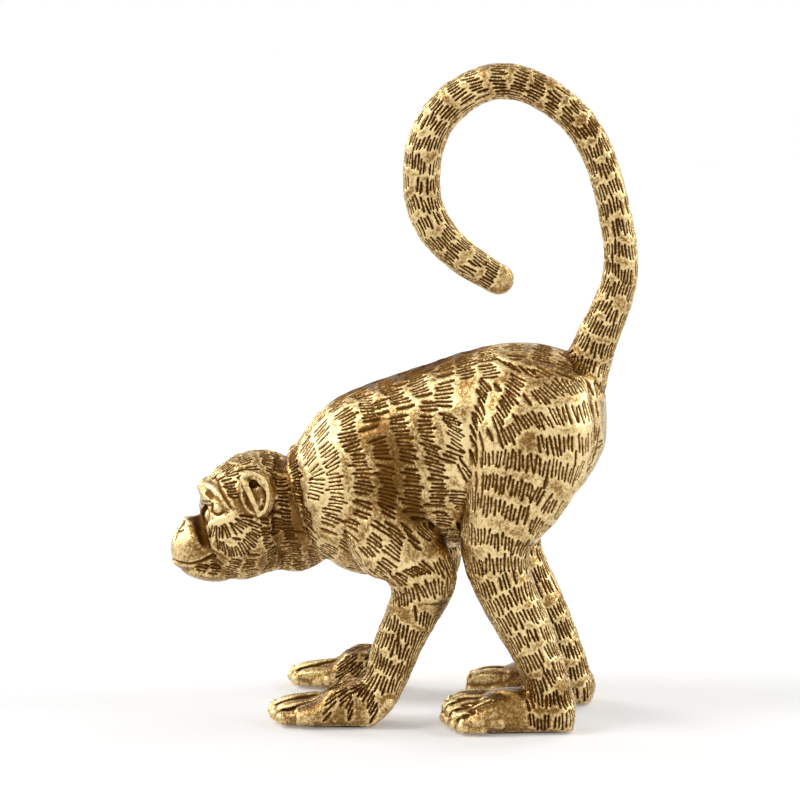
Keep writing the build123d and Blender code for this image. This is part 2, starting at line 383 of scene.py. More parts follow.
def modified(mesh: bpy.types.Mesh, **modifiers: dict[str, object]) -> bpy.types.Mesh:
    """Mesh as modifiers leave it.

    Args:
        mesh: The mesh, removed afterwards.
        modifiers: For each type of modifier, its settings, in their order.

    Returns:
        The new mesh.
    """
    holder = add_object(mesh.name, mesh)
    for kind, settings in modifiers.items():
        modifier = holder.modifiers.new(kind.lower(), kind)
        for key, value in settings.items():
            setattr(modifier, key, value)
    graph = bpy.context.evaluated_depsgraph_get()
    result = bpy.data.meshes.new_from_object(holder.evaluated_get(graph))
    bpy.data.objects.remove(holder)
    bpy.data.meshes.remove(mesh)
    return result


def cast_copy(nodes: Iterable[str]) -> bmesh.types.BMesh:
    """Merged copy of packed castings, and of the pins in them, in one form.

    Args:
        nodes: Names of the castings.

    Returns:
        The closed shells, each with its faces pointing outwards.
    """
    form = bmesh.new()
    for node in nodes:
        form.from_mesh(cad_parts[node].data)
    bmesh.ops.remove_doubles(form, verts=form.verts, dist=MERGE_GAP)
    bmesh.ops.recalc_face_normals(form, faces=form.faces)
    return form


def one_skin(form: bmesh.types.BMesh, voxel: float) -> bpy.types.Mesh:
    """Single closed skin round overlapping shells.

    Args:
        form: The shells, freed afterwards.
        voxel: Spacing of the skin's vertices.

    Returns:
        The skin as a new mesh.
    """
    return modified(
        mesh_of(form, "shells"), REMESH={"mode": "VOXEL", "voxel_size": voxel},
        SMOOTH={"factor": 0.5, "iterations": SMOOTH_ROUNDS})


@dataclass(frozen=True)
class Seam:
    """Flat glued joint of a casting.

    Attributes:
        centre: Middle of the joint face.
        outward: Direction out of the smaller casting, towards the torso.
        reach: Farthest that the joint face lies from its middle.
    """

    centre: Vector
    outward: Vector
    reach: float

    @classmethod
    def of(cls, node: str) -> "Seam":
        """Reads the joint of a packed casting: its largest flat face but the one it stands on."""
        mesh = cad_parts[node].data
        count = len(mesh.polygons)
        normals = np.empty(count * 3, np.float32)
        centres = np.empty(count * 3, np.float32)
        areas = np.empty(count, np.float32)
        mesh.polygons.foreach_get("normal", normals)
        mesh.polygons.foreach_get("center", centres)
        mesh.polygons.foreach_get("area", areas)
        normals = normals.reshape(-1, 3)
        centres = centres.reshape(-1, 3)
        offsets = np.einsum("ij,ij->i", normals, centres)
        keys = np.column_stack([np.round(normals, 3), np.round(offsets / (0.05 * MM))])
        aside = keys[:, 2] > -0.995
        groups, members = np.unique(keys[aside], axis=0, return_inverse=True)
        members = members.ravel()
        best = np.argmax(np.bincount(members, areas[aside]))
        chosen = members == best
        weights = areas[aside][chosen]
        centre = (centres[aside][chosen] * weights[:, None]).sum(0) / weights.sum()
        outward = (normals[aside][chosen] * weights[:, None]).sum(0) / weights.sum()
        reach = np.linalg.norm(centres[aside][chosen] - centre, axis=1).max()
        return cls(Vector(centre.tolist()), Vector(outward.tolist()).normalized(), float(reach))


def cut_and_close(form: bmesh.types.BMesh, part: list[Element], place: Vector, outward: Vector,
                  **cleared: bool) -> None:
    """Cuts a skin along a plane and closes it.

    Args:
        form: The skin.
        part: Its vertices, edges and faces that the plane may cut.
        place: Place on the plane.
        outward: Direction across the plane.
        cleared: Which side goes, as clear_inner or clear_outer.
    """
    cut = bmesh.ops.bisect_plane(form, geom=part, plane_co=place, plane_no=outward, **cleared)
    rim = [piece for piece in cut["geom_cut"] if isinstance(piece, bmesh.types.BMEdge)]
    bmesh.ops.edgeloop_fill(form, edges=rim)


def cut_at(form: bmesh.types.BMesh, seam: Seam, keep_outer: bool) -> None:
    """Cuts a skin at a joint and closes it.

    Args:
        form: Closed skin.
        seam: The joint.
        keep_outer: Whether the torso stays, cut only near the joint, and not the smaller casting.
    """
    around = seam.reach + 5 * MM
    paired = abs(seam.centre.y) > 5 * MM

    def is_cut(place: Vector) -> bool:
        """Whether the plane cuts a face here, and not one of the limb on the other side."""
        on_far_side = paired and place.y * seam.centre.y < 0
        return not keep_outer or ((place - seam.centre).length < around and not on_far_side)

    faces = [face for face in form.faces if is_cut(face.calc_center_median())]
    verts = {vertex for face in faces for vertex in face.verts}
    edges = {edge for face in faces for edge in face.edges}
    cut_and_close(form, [*verts, *edges, *faces], seam.centre, seam.outward,
                  clear_inner=keep_outer, clear_outer=not keep_outer)


def near_part(form: bmesh.types.BMesh, seam: Seam, beyond: float) -> bpy.types.Mesh:
    """Part of closed shells that lies no farther than a distance beyond a joint.

    Args:
        form: The shells, freed afterwards.
        seam: The joint.
        beyond: The distance.

    Returns:
        The part as a new mesh.
    """
    cut_and_close(form, [*form.verts, *form.edges, *form.faces],
                  seam.centre + seam.outward * beyond, seam.outward, clear_outer=True)
    return mesh_of(form, "near_part")


def thin_out(mesh: bpy.types.Mesh, most: int) -> bpy.types.Mesh:
    """Mesh with at most so many triangles, the fewest where it is smooth."""
    triangles = len(mesh.loops) - 2 * len(mesh.polygons)
    if triangles <= most:
        return mesh
    return modified(mesh, DECIMATE={"ratio": most / triangles})


def keep_largest(form: bmesh.types.BMesh) -> None:
    """Deletes every loose shell of a skin but the largest."""
    left = set(form.verts)
    shells = []
    while left:
        seed = left.pop()
        shell = {seed}
        edge_of_shell = [seed]
        while edge_of_shell:
            vertex = edge_of_shell.pop()
            for edge in vertex.link_edges:
                other = edge.other_vert(vertex)
                if other in left:
                    left.remove(other)
                    shell.add(other)
                    edge_of_shell.append(other)
        shells.append(shell)
    shells.sort(key=len)
    loose = [vertex for shell in shells[:-1] for vertex in shell]
    bmesh.ops.delete(form, geom=loose, context="VERTS")


@dataclass(frozen=True)
class Station:
    """Cross-section of a limb that a comb follows.

    Attributes:
        place: Middle of the section.
        deep: Half of its size up and down, or fore and aft on a leg.
        wide: Half of its size across the animal.
    """

    place: Vector
    deep: float
    wide: float


def station(x: float, y: float, z: float, deep: float, wide: float) -> Station:
    """Limb section from its millimetres."""
    return Station(mm(x, y, z), deep * MM, wide * MM)


def away_from(centre: Vector, place: Vector) -> Vector:
    """Direction from a centre to a place."""
    return place - centre


def everywhere(place: Vector) -> bool:
    """Whether a place gets strokes where nothing keeps them off."""
    return True


def off_floor(place: Vector) -> bool:
    """Whether a place lies above the edge of the soles."""
    return place.z > 4 * MM


@dataclass
class Comb:
    """Rows of fur strokes around a limb.

    Attributes:
        stations: Sections along the limb, in the direction of the hair.
        period: Distance from row to row.
        spacing: Distance from stroke to stroke in a row.
        length: Length of a stroke.
        half_width: Half of a stroke's width.
        depth: Depth of a stroke.
        slack: How far out of the section the skin may lie, as a share.
        hair: Direction of the hair at a place, where it doesn't follow the limb.
        wander: How far a row strays from its ring.
        skip: Share of the strokes left out.
        clear: Least distance to an earlier comb's strokes.
        wanted: Whether a place gets strokes.
    """

    stations: list[Station]
    period: float = 9.4 * MM
    spacing: float = 1.65 * MM
    length: float = 6.6 * MM
    half_width: float = 0.37 * MM
    depth: float = 0.34 * MM
    slack: float = 1.14
    hair: Callable[[Vector], Vector] | None = None
    wander: float = 1.1 * MM
    skip: float = 0.04
    clear: float = 2.6 * MM
    wanted: Callable[[Vector], bool] = everywhere


@dataclass(frozen=True)
class Unevenness:
    """How far one stroke of a comb differs from the next.

    Attributes:
        turn: Spread of its direction, in degrees.
        drift: Slow wander of the direction over the skin, in degrees.
        drift_size: Distance over which that wander changes.
        shift: Spread of its place along the hair, as a share of its length.
        half: Least and greatest half of its length, as a share of the comb's.
        width: Least and greatest share of the comb's width.
        depth: Least and greatest share of the comb's depth.
        spacing: Least and greatest share of the comb's spacing.
        crowded: Share of the spacing within which two strokes of a comb don't both stand.
        looked_back: How many places of earlier strokes that is looked for among.
    """

    turn: float = 3.5
    drift: float = 10
    drift_size: float = 9 * MM
    shift: float = 0.09
    half: tuple[float, float] = (0.34, 0.58)
    width: tuple[float, float] = (0.8, 1.2)
    depth: tuple[float, float] = (0.75, 1.2)
    spacing: tuple[float, float] = (0.85, 1.15)
    crowded: float = 0.62
    looked_back: int = 20


class Tooling:
    """Fur strokes and tool marks of the whole figure."""

    # Height of the skin between the rows over the skin in them
    SWELL = 0.34 * MM

    # Size of the grid's cells that taken places are kept in
    CELL = 4 * MM

    # Height over the floor below which the strokes fade, and how far they do
    SOLE_HEIGHT = 2.5 * MM
    SOLE_FADE = 0.3

    # Profile across a stroke, in half widths: its cut's edge, and its lip's place, width and height
    CUT_EDGE = 1.5
    LIP = (1.95, 0.5, 0.4)

    # Where, in half widths from a stroke, the swelling starts, and over how many it rises
    SWELL_START = 1.7
    SWELL_RISE = 2.8

    def __init__(self, skin: bpy.types.Mesh, marks: list[Mark], spots: list[Spot],
                 seed: int) -> None:
        """Prepares the skin that the strokes are laid on."""
        self.surface = surface_of(skin)
        self.dice = random.Random(seed)
        self.uneven = Unevenness()
        self.strokes: list[Stroke] = []
        self.marks = [replace(mark, path=self.seat(mark.path)) for mark in marks]
        self.spots = spots
        self.taken: dict[tuple[int, ...], list[Vector]] = {}

    def seat(self, path: Sequence[Vector]) -> list[Vector]:
        """Smooth line through places, laid onto the skin."""
        if len(path) > 2:
            line = smooth_path(path, 5)
        else:
            line = [path[0].lerp(path[1], step / 4) for step in range(5)]
        return [self.surface.find_nearest(place)[0] for place in line]

    def cell(self, place: Vector) -> tuple[int, ...]:
        """Number of the grid cell that a place lies in."""
        return tuple(math.floor(value / self.CELL) for value in place)

    def is_clear(self, place: Vector, reach: float) -> bool:
        """Whether no earlier comb's stroke passes within reach of a place."""
        around = product(*((number - 1, number, number + 1) for number in self.cell(place)))
        return not any((other - place).length < reach
                       for cell in around for other in self.taken.get(cell, ()))

    def add_stroke(self, stroke: Stroke, pending: list[Vector]) -> None:
        """Keeps a stroke, and the places that it takes up."""
        self.strokes.append(stroke)
        pending += [stroke.start.lerp(stroke.end, share) for share in (0.0, 0.25, 0.5, 0.75, 1.0)]

    def settle(self, pending: list[Vector]) -> None:
        """Enters taken places into the grid."""
        for place in pending:
            self.taken.setdefault(self.cell(place), []).append(place)

    def lay(self, place: Vector, normal: Vector, run: Vector, comb: Comb,
            pending: list[Vector]) -> None:
        """Lays one stroke on the skin.

        Args:
            place: Middle of the stroke, on the skin.
            normal: Direction out of the skin there.
            run: Direction of the hair.
            comb: Sizes of the stroke.
            pending: Places taken up by this comb so far.
        """
        uneven = self.uneven
        if comb.hair is not None:
            run = comb.hair(place).normalized()
        along = run - normal * run.dot(normal)
        if along.length < 0.2 or self.dice.random() < comb.skip:
            return
        along.normalize()
        turn = self.dice.gauss(0, uneven.turn)
        turn += uneven.drift * noise.noise(place / uneven.drift_size)
        along.rotate(Matrix.Rotation(math.radians(turn), 3, normal))
        half = comb.length * self.dice.uniform(*uneven.half)
        place = place + along * self.dice.gauss(0, uneven.shift) * comb.length
        crowded = any((other - place).length < uneven.crowded * comb.spacing
                      for other in pending[-uneven.looked_back:])
        if crowded or not (comb.wanted(place) and self.is_clear(place, comb.clear)):
            return
        ends = [self.surface.find_nearest(place + along * half * way, 3 * MM)[0] for way in (-1, 1)]
        if None in ends:
            return
        wide = comb.half_width * self.dice.uniform(*uneven.width)
        deep = comb.depth * self.dice.uniform(*uneven.depth)
        self.add_stroke(Stroke(*ends, wide, deep), pending)

    def comb(self, comb: Comb) -> None:
        """Lays rows of strokes around a limb."""
        pending: list[Vector] = []
        steps = 12
        line = smooth_path([station.place for station in comb.stations], steps)
        stops = range(0, len(line), steps)
        deeps = np.interp(range(len(line)), stops, [section.deep for section in comb.stations])
        wides = np.interp(range(len(line)), stops, [section.wide for section in comb.stations])
        travelled = 0.0
        next_row = comb.period * 0.5
        for start, end, deep, wide in zip(line, line[1:], deeps, wides):
            step = end - start
            travelled += step.length
            if travelled < next_row:
                continue
            next_row += comb.period
            self.ring(end, step.normalized(), deep, wide, comb, pending)
        self.settle(pending)

    def ring(self, centre: Vector, run: Vector, deep: float, wide: float, comb: Comb,
             pending: list[Vector]) -> None:
        """Lays one row of strokes around a limb.

        Args:
            centre: Middle of the limb's section.
            run: Direction of the limb.
            deep: Half of the section's size in the animal's middle plane.
            wide: Half of its size across the animal.
            comb: Sizes of the strokes.
            pending: Places taken up by this comb so far.
        """
        across = Vector((0, 1, 0))
        across = (across - run * across.dot(run)).normalized()
        upward = across.cross(run)
        phase = self.dice.uniform(0, math.tau)
        angle = phase
        while angle < phase + math.tau:
            ray = across * math.cos(angle) + upward * math.sin(angle)
            shift = comb.wander * math.sin(3 * angle + 5 * phase) + self.dice.gauss(0, 0.35 * MM)
            origin = centre + run * shift
            place, normal, _, distance = self.surface.ray_cast(origin, ray)
            section = 1 / math.hypot(math.cos(angle) / wide, math.sin(angle) / deep)
            if place is None or distance > section * comb.slack or distance < section * 0.3:
                angle += comb.spacing / section
                continue
            self.lay(place, normal, run, comb, pending)
            turn = normal.dot(ray)
            width = self.dice.uniform(*self.uneven.spacing)
            angle += comb.spacing * max(turn, 0.35) / distance * width

    def row(self, path: Sequence[Vector], comb: Comb) -> None:
        """Lays one row of strokes along a line near the skin.

        Args:
            path: Places that the row passes near.
            comb: Sizes of the strokes and the direction of the hair.
        """
        pending: list[Vector] = []
        line = smooth_path(path, 24)
        owed = comb.spacing
        for start, end in zip(line, line[1:]):
            owed += (end - start).length
            if owed < comb.spacing:
                continue
            owed -= comb.spacing * self.dice.uniform(*self.uneven.spacing)
            place, normal, _, _ = self.surface.find_nearest(end, 6 * MM)
            if place is not None:
                self.lay(place, normal, Vector(), comb, pending)
        self.settle(pending)

    def groove(self, skin: Skin, gather: float) -> np.ndarray:
        """Cuts the strokes into a skin.

        Args:
            skin: The casting's vertices, moved in place.
            gather: How far vertices are drawn to the middle of a stroke.

        Returns:
            For each vertex its distance from the nearest stroke, in half widths.
        """
        distance = np.full(skin.count, NO_STROKE)
        depth = np.zeros(skin.count)
        slide = np.zeros((skin.count, 3))
        low = skin.places.min(0) - 5 * MM
        high = skin.places.max(0) + 5 * MM
        for stroke in self.strokes:
            middle = (stroke.start + stroke.end) / 2
            if not all(low[axis] < middle[axis] < high[axis] for axis in range(3)):
                continue
            reach = (stroke.end - stroke.start).length / 2 + 5 * stroke.half_width
            close = skin.near(middle, reach)
            if not len(close):
                continue
            gap, along = to_segment(skin.places[close], stroke.start, stroke.end)
            taper = 1 - 0.5 * np.abs(2 * along - 1) ** 2.5
            share = gap / (stroke.half_width * taper)
            nearer = share < distance[close]
            index = close[nearer]
            distance[index] = share[nearer]
            depth[index] = stroke.depth
            run = np.array(stroke.end - stroke.start)
            foot = np.array(stroke.start) + along[nearer, None] * run
            slide[index] = foot - skin.places[index]
        normals = skin.normals()
        slide -= normals * np.einsum("ij,ij->i", slide, normals)[:, None]
        drawn = (np.linalg.norm(slide, axis=1) < gather) & (distance < NO_STROKE)
        skin.places[drawn] += slide[drawn] * 0.85
        distance[drawn] *= 0.25
        cut = np.clip(1 - (distance / self.CUT_EDGE) ** 2, 0, None) ** 1.5
        place, width, height = self.LIP
        lip = height * np.exp(-((distance - place) / width) ** 2)
        lift = depth * (lip - cut)
        share = np.clip((distance - self.SWELL_START) / self.SWELL_RISE, 0, 1)
        lift += self.SWELL * (share * share * (3 - 2 * share) - 1)
        lift[skin.places[:, 2] < self.SOLE_HEIGHT] *= self.SOLE_FADE
        skin.places += normals * lift[:, None]
        return distance

    def carve(self, skin: Skin) -> np.ndarray:
        """Cuts and raises the tool marks on a skin.

        Args:
            skin: The casting's vertices, moved in place.

        Returns:
            Dark glaze of the tool marks on each vertex, 0 to 1, plus painted shade and highlights.
        """
        glaze_and_painted_light = np.zeros(skin.count)
        lift = np.zeros(skin.count)
        for mark in self.marks:
            best = np.full(skin.count, np.inf)
            touched: set[int] = set()
            for start, end in zip(mark.path, mark.path[1:]):
                reach = (end - start).length / 2 + 2.5 * mark.half_width
                close = skin.near((start + end) / 2, reach)
                if not len(close):
                    continue
                gap, _ = to_segment(skin.places[close], start, end)
                best[close] = np.minimum(best[close], gap / mark.half_width)
                touched.update(close.tolist())
            if not touched:
                continue
            index = np.fromiter(touched, int)
            profile = np.clip(1 - (best[index] / 1.6) ** 2, 0, None) ** 2
            lift[index] -= mark.depth * profile
            glaze_and_painted_light[index] = np.maximum(glaze_and_painted_light[index], mark.glaze_and_painted_light * profile)
        skin.places += skin.normals() * lift[:, None]
        # Spots add painted shade with a positive strength and painted highlights with a negative
        # one
        for spot in self.spots:
            gap = np.linalg.norm(skin.places - np.array(spot.centre), axis=1) / spot.radius
            glaze_and_painted_light += spot.strength * np.clip(1 - gap ** 2, 0, None)
        return glaze_and_painted_light


class Wax:
    """Forms added to the bare castings as overlapping beads of wax."""

    # Beads joined into one mesh at a time, and steps from place to place of a ridge
    BATCH = 40
    STEPS = 6

    def __init__(self, bare: bpy.types.Mesh) -> None:
        """Prepares the bare skin that the forms are seated on."""
        self.surface = surface_of(bare)
        self.beads: list[tuple[Vector, float]] = []
        self.pushes: list[Push] = []
        self.calms: list[Calm] = []

    def work(self, skin: bpy.types.Mesh, voxel: float) -> None:
        """Pushes and smooths a new skin."""
        body = Skin(skin)
        for push in self.pushes:
            body.push(push)
        for calm in self.calms:
            body.calm(calm, voxel)
        body.write()

    def chain(self, path: Sequence[Vector], radii: Sequence[float],
              sunk: float | None = None) -> None:
        """Adds a smooth ridge or digit.

        Args:
            path: Places along it.
            radii: Its radius at each place, in millimetres.
            sunk: Share of the radius that lies under the skin, or None to leave the path as it is.
        """
        line = smooth_path(path, self.STEPS)
        sizes = np.interp(range(len(line)), range(0, len(line), self.STEPS), radii)
        for place, radius in zip(line, sizes):
            self.bead(place, radius, sunk)

    def bead(self, place: Vector, radius: float, sunk: float | None = None) -> None:
        """Adds one bead.

        Args:
            place: Its middle, or a place near the skin where it sits.
            radius: Its radius in millimetres.
            sunk: Share of the radius that lies under the skin, or None to leave it where it is.
        """
        if sunk is not None:
            seat, normal, _, _ = self.surface.find_nearest(place)
            place = seat - normal * radius * MM * sunk
        self.beads.append((place, radius * MM))

    def add_to(self, form: bmesh.types.BMesh) -> None:
        """Puts the beads that a form reaches into it."""
        corners = np.array([vertex.co for vertex in form.verts])
        low = corners.min(0)
        high = corners.max(0)
        chosen = [
            (place, radius) for place, radius in self.beads
            if all(low[axis] - radius < place[axis] < high[axis] + radius for axis in range(3))]
        for first in range(0, len(chosen), self.BATCH):
            batch = bmesh.new()
            for place, radius in chosen[first:first + self.BATCH]:
                bmesh.ops.create_icosphere(
                    batch, subdivisions=2, radius=radius, matrix=Matrix.Translation(place))
            mesh = mesh_of(batch, "beads")
            form.from_mesh(mesh)
            bpy.data.meshes.remove(mesh)


@dataclass(frozen=True)
class Head:
    """Modelled face, ears and fur of the head, in millimetres ahead of the neck, out and up.

    Attributes:
        pivot: Where the neck meets the head.
        turn: Turn of the head to the animal's left, in degrees.
        signs: Places, and the hair's slope there, in degrees down towards the neck.
        rows: Rows of fur strokes on the left.
    """

    pivot: Place = (-45.3, 0.0, 85.0)
    turn: float = 20.0
    signs: tuple[tuple[float, float, float, float], ...] = (
        (33.7, 4.2, 22.4, -50), (25.5, 3.7, 26.5, -35), (17, 1.3, 28.3, -5), (14.3, 11.9, 23.2, 12),
        (7, 0, 26, 0), (31.9, 15.4, 15.7, 15), (29.1, 15.8, 17.1, 15), (28.6, 20.2, 9.7, 20),
        (4.5, 17.8, 20.6, 0), (5, 21, 11.5, 5), (0.6, 24.1, 3.8, 8), (-0.4, 23, -2.7, 20),
        (9.5, 14.4, 8, 5), (9.2, 15.8, 1.5, 8), (6.4, 16.3, -6.3, 8), (17.1, 21.8, -4.8, 10),
        (14, 14.3, -17.7, -5), (24, 18.7, -16.3, 5), (30.9, 15.8, -19.2, 5), (38.7, 11.7, -20.3, 5),
        (44.3, 10.6, -20.8, 10))
    rows: tuple[Row, ...] = (
        ((36.3, 0.9, 21), (34, 2, 22.6), (32, 7, 22.4), (31, 10.6, 21.1), (30.2, 13, 19.5)),
        ((25.5, 3.7, 26.5), (24.6, 8.9, 24.9), (23, 12.3, 23.1), (22.2, 14, 21.9)),
        ((17.4, 0.5, 28.4), (16.6, 6.4, 27.2), (15.6, 10.5, 24.9), (14.5, 12.9, 22.4),
         (14.1, 14.2, 20.7)),
        ((35.2, 10, 18.6), (33.5, 12.3, 18), (31.3, 13.7, 18.2)),
        ((32.7, 14.1, 16.9), (31.6, 16.8, 14), (30.4, 18.9, 11), (28.7, 20.5, 8.8)),
        ((29.5, 14.7, 18.4), (28.8, 17.2, 15.4), (28.4, 20, 12.8), (27, 22, 9.7)),
        ((5, 13.8, 24.7), (4.5, 17.8, 20.6), (4.3, 20.1, 16.2), (4.1, 21.6, 11.6),
         (3.7, 22.2, 8.3)),
        ((2, 23.6, 7.6), (0.6, 24.3, 4.8), (0.1, 23.6, -0.2), (-1.3, 23.4, -3.7)),
        ((10.9, 10.9, 17.1), (9.7, 12.2, 12.5), (9.5, 14.4, 8), (9.2, 15.8, 1.5), (7.8, 16.1, -4.3),
         (5.4, 15.6, -9.4)),
        ((18.5, 22.8, 2.2), (17.6, 22.3, -2.7), (16.5, 20.8, -8.4), (14.3, 17.7, -12.5),
         (14, 14.3, -17.7)),
        ((23.1, 19.8, -13.7), (24, 18.7, -16.3), (24.7, 15.8, -20.4)),
        ((29.7, 18.2, -16.3), (30.9, 15.8, -19.2), (31.6, 12, -23.4)),
        ((37.8, 13.4, -17), (38.7, 11.7, -20.3), (39.2, 11.3, -23.7)),
        ((43.9, 11.2, -19.2), (44.4, 10.6, -22.2)))

    def at(self, ahead: float, out: float, up: float) -> Vector:
        """Place on the head."""
        turn = math.radians(self.turn)
        forward = Vector((-math.cos(turn), -math.sin(turn), 0))
        left = Vector((math.sin(turn), -math.cos(turn), 0))
        return mm(*self.pivot) + (forward * ahead + left * out + Vector((0, 0, up))) * MM

    def line(self, side: int, *places: Place) -> list[Vector]:
        """Places on one side of the head, 1 on the left and -1 on the right."""
        return [self.at(ahead, out * side, up) for ahead, out, up in places]

    def build(self, wax: Wax, marks: list[Mark], spots: list[Spot]) -> None:
        """Models the face and ears.

        Args:
            wax: Takes the raised forms.
            marks: Takes the cut lines.
            spots: Takes the places of painted shade and painted highlight.
        """
        self.fill_nape(wax)
        for side in (1, -1):
            self.model_brow(side, wax, marks)
            self.model_eye(side, wax, marks)
            self.model_muzzle(side, marks, spots)
            self.model_cheek(side, wax, marks, spots)
            self.model_ear(side, wax, marks, spots)
        across_bridge = ((40.6, 14.4, 9.0), (42.7, 9.8, 8.5), (43.8, 4.0, 8.3))
        for drop in (0.0, 1.7):
            wrinkle = self.both_sides((ahead, out, up - drop) for ahead, out, up in across_bridge)
            marks.append(Mark(wrinkle, 0.5 * MM, 0.5 * MM, 0.6))
        mouth = self.both_sides((
            (39.1, 14.0, -14.7), (41.7, 12.9, -16.0), (45.3, 12.0, -17.6), (49.1, 10.5, -18.6),
            (52.7, 9.1, -18.5), (55.8, 5.9, -18.1), (57.0, 1.5, -17.8)))
        marks.append(Mark(mouth, 0.85 * MM, 1.4 * MM, 1.0))
        nose = [self.at(50.0, out, -1.2) for out in (4.5, 1.5, -1.5, -4.5)]
        wax.chain(nose, (1.6, 2.4, 2.4, 1.6), 0.5)

    def both_sides(self, places: Iterable[Place]) -> list[Vector]:
        """Line from places on the left to the same places on the right."""
        near = list(places)
        return self.line(1, *near) + self.line(-1, *reversed(near))

    def glaze_and_painted_light(self, side: int, spots: list[Spot], *patches: tuple[float, ...]) -> None:
        """Adds painted shade and highlights, each with its radius and strength, on one side."""
        for ahead, out, up, radius, strength in patches:
            spots.append(Spot(self.at(ahead, out * side, up), radius * MM, strength))

    def model_brow(self, side: int, wax: Wax, marks: list[Mark]) -> None:
        """Models the brow ridge, the crease behind it and the ridge behind that."""
        brow = ((43.0, 3.0, 16.0), (41.6, 7.0, 15.3), (39.2, 10.7, 14.2), (37.2, 14.6, 12.2),
                (35.2, 17.3, 9.9), (33.1, 19.5, 6.9), (31.6, 20.3, 5.2))
        wax.chain(self.line(side, *brow), (1.3, 1.7, 1.9, 1.9, 1.7, 1.4, 0.9), 0.35)
        crease = ((38.6, 6.0, 18.6), (36.8, 9.8, 17.3), (35.9, 14.4, 13.8), (34.2, 17.6, 10.3),
                  (32.2, 19.8, 7.0))
        marks.append(Mark(self.line(side, *crease), 0.6 * MM, 0.5 * MM, 0.6))
        second = ((35.1, 13.1, 16.2), (33.2, 17.1, 12.5), (31.5, 19.3, 8.9), (30.0, 20.6, 6.7))
        wax.chain(self.line(side, *second), (0.8, 1.0, 1.0, 0.7), 0.35)
        corner = self.line(side, (41.0, 11.0, 11.6), (39.9, 13.6, 10.6))
        marks.append(Mark(corner, 1.3 * MM, 0.8 * MM, 0.8))

    def model_eye(self, side: int, wax: Wax, marks: list[Mark]) -> None:
        """Models the eye, its lids and the lines round them."""
        wax.bead(self.at(38.2, 10.6 * side, 2.0), 4.8)
        wax.bead(self.at(37.6, 17.2 * side, 6.3), 2.4, 0.35)
        upper = ((39.9, 15.0, 8.4), (37.7, 17.2, 9.0), (35.3, 18.6, 7.0))
        wax.chain(self.line(side, *upper), (0.6, 0.9, 0.6), 0.1)
        lower = ((39.4, 16.8, 3.4), (37.4, 18.3, 2.6), (35.0, 19.2, 4.2))
        wax.chain(self.line(side, *lower), (0.6, 0.9, 0.6), 0.1)
        front = self.line(side, (40.0, 15.3, 8.0), (39.8, 15.8, 5.2))
        marks.append(Mark(front, 0.7 * MM, 1.0 * MM, 1.0))
        under = ((39.3, 16.7, 4.6), (37.5, 18.1, 3.9), (35.2, 19.1, 5.2))
        marks.append(Mark(self.line(side, *under), 0.45 * MM, 0.8 * MM, 0.9))
        for up in (6.6, 5.2, 4.0):
            foot = self.line(side, (34.3, 19.3, up), (32.9, 20.1, up - 0.5))
            marks.append(Mark(foot, 0.35 * MM, 0.4 * MM, 0.6))

    def model_muzzle(self, side: int, marks: list[Mark], spots: list[Spot]) -> None:
        """Models the nostril and the dark valley behind the nose."""
        nostril = self.line(side, (54.2, 1.8, -5.8), (51.2, 2.6, -2.3))
        marks.append(Mark(nostril, 1.1 * MM, 2.0 * MM, 1.3))
        wing = self.line(side, (53.9, 3.6, -6.5), (51.7, 6.7, -4.5))
        marks.append(Mark(wing, 0.45 * MM, 0.6 * MM, 0.8))
        valley = ((44.6, 3.5, 0.8), (44.3, 7.5, -1.2), (43.3, 11.5, -4.6), (42.3, 13.8, -8.4))
        marks.append(Mark(self.line(side, *valley), 2.3 * MM, 1.5 * MM, 0.5))
        # Painted shade behind the nose and beside the muzzle, and a painted highlight on its front
        self.glaze_and_painted_light(
            side, spots,
            (44.1, 4.4, 0.0, 5.5, 1.1), (41.6, 6.5, 2.0, 5.0, 1.1), (45.2, 8.9, -2.8, 5.2, 1.1),
            (42.9, 12.9, -5.4, 5.2, 1.1), (48.0, 2.7, -0.5, 2.6, 0.9),
            (42.5, 13.5, -11.0, 6.0, 0.45), (53.0, 7.0, -9.5, 8.5, -0.5))

    def model_cheek(self, side: int, wax: Wax, marks: list[Mark], spots: list[Spot]) -> None:
        """Models the smooth pad under the eye and the fold beside the muzzle."""
        pad = ((40.8, 16.4, -1.1), (37.4, 18.7, 0.9), (33.6, 20.2, 2.8), (31.0, 20.6, 4.8))
        wax.chain(self.line(side, *pad), (2.2, 2.7, 2.7, 2.0), 0.55)
        # Painted highlight along the smooth pad under the eye
        self.glaze_and_painted_light(side, spots, *((*place, 4.0, -0.7) for place in pad[:3]))
        wax.chain(self.line(side, (41.7, 15.6, -1.4), (41.7, 16.6, -5.8)), (0.9, 0.7), 0.1)
        for ahead in (42.7, 40.6):
            fold = self.line(side, (ahead, 15.4, -1.6), (ahead, 16.6, -6.2))
            marks.append(Mark(fold, 0.4 * MM, 0.7 * MM, 1.0))

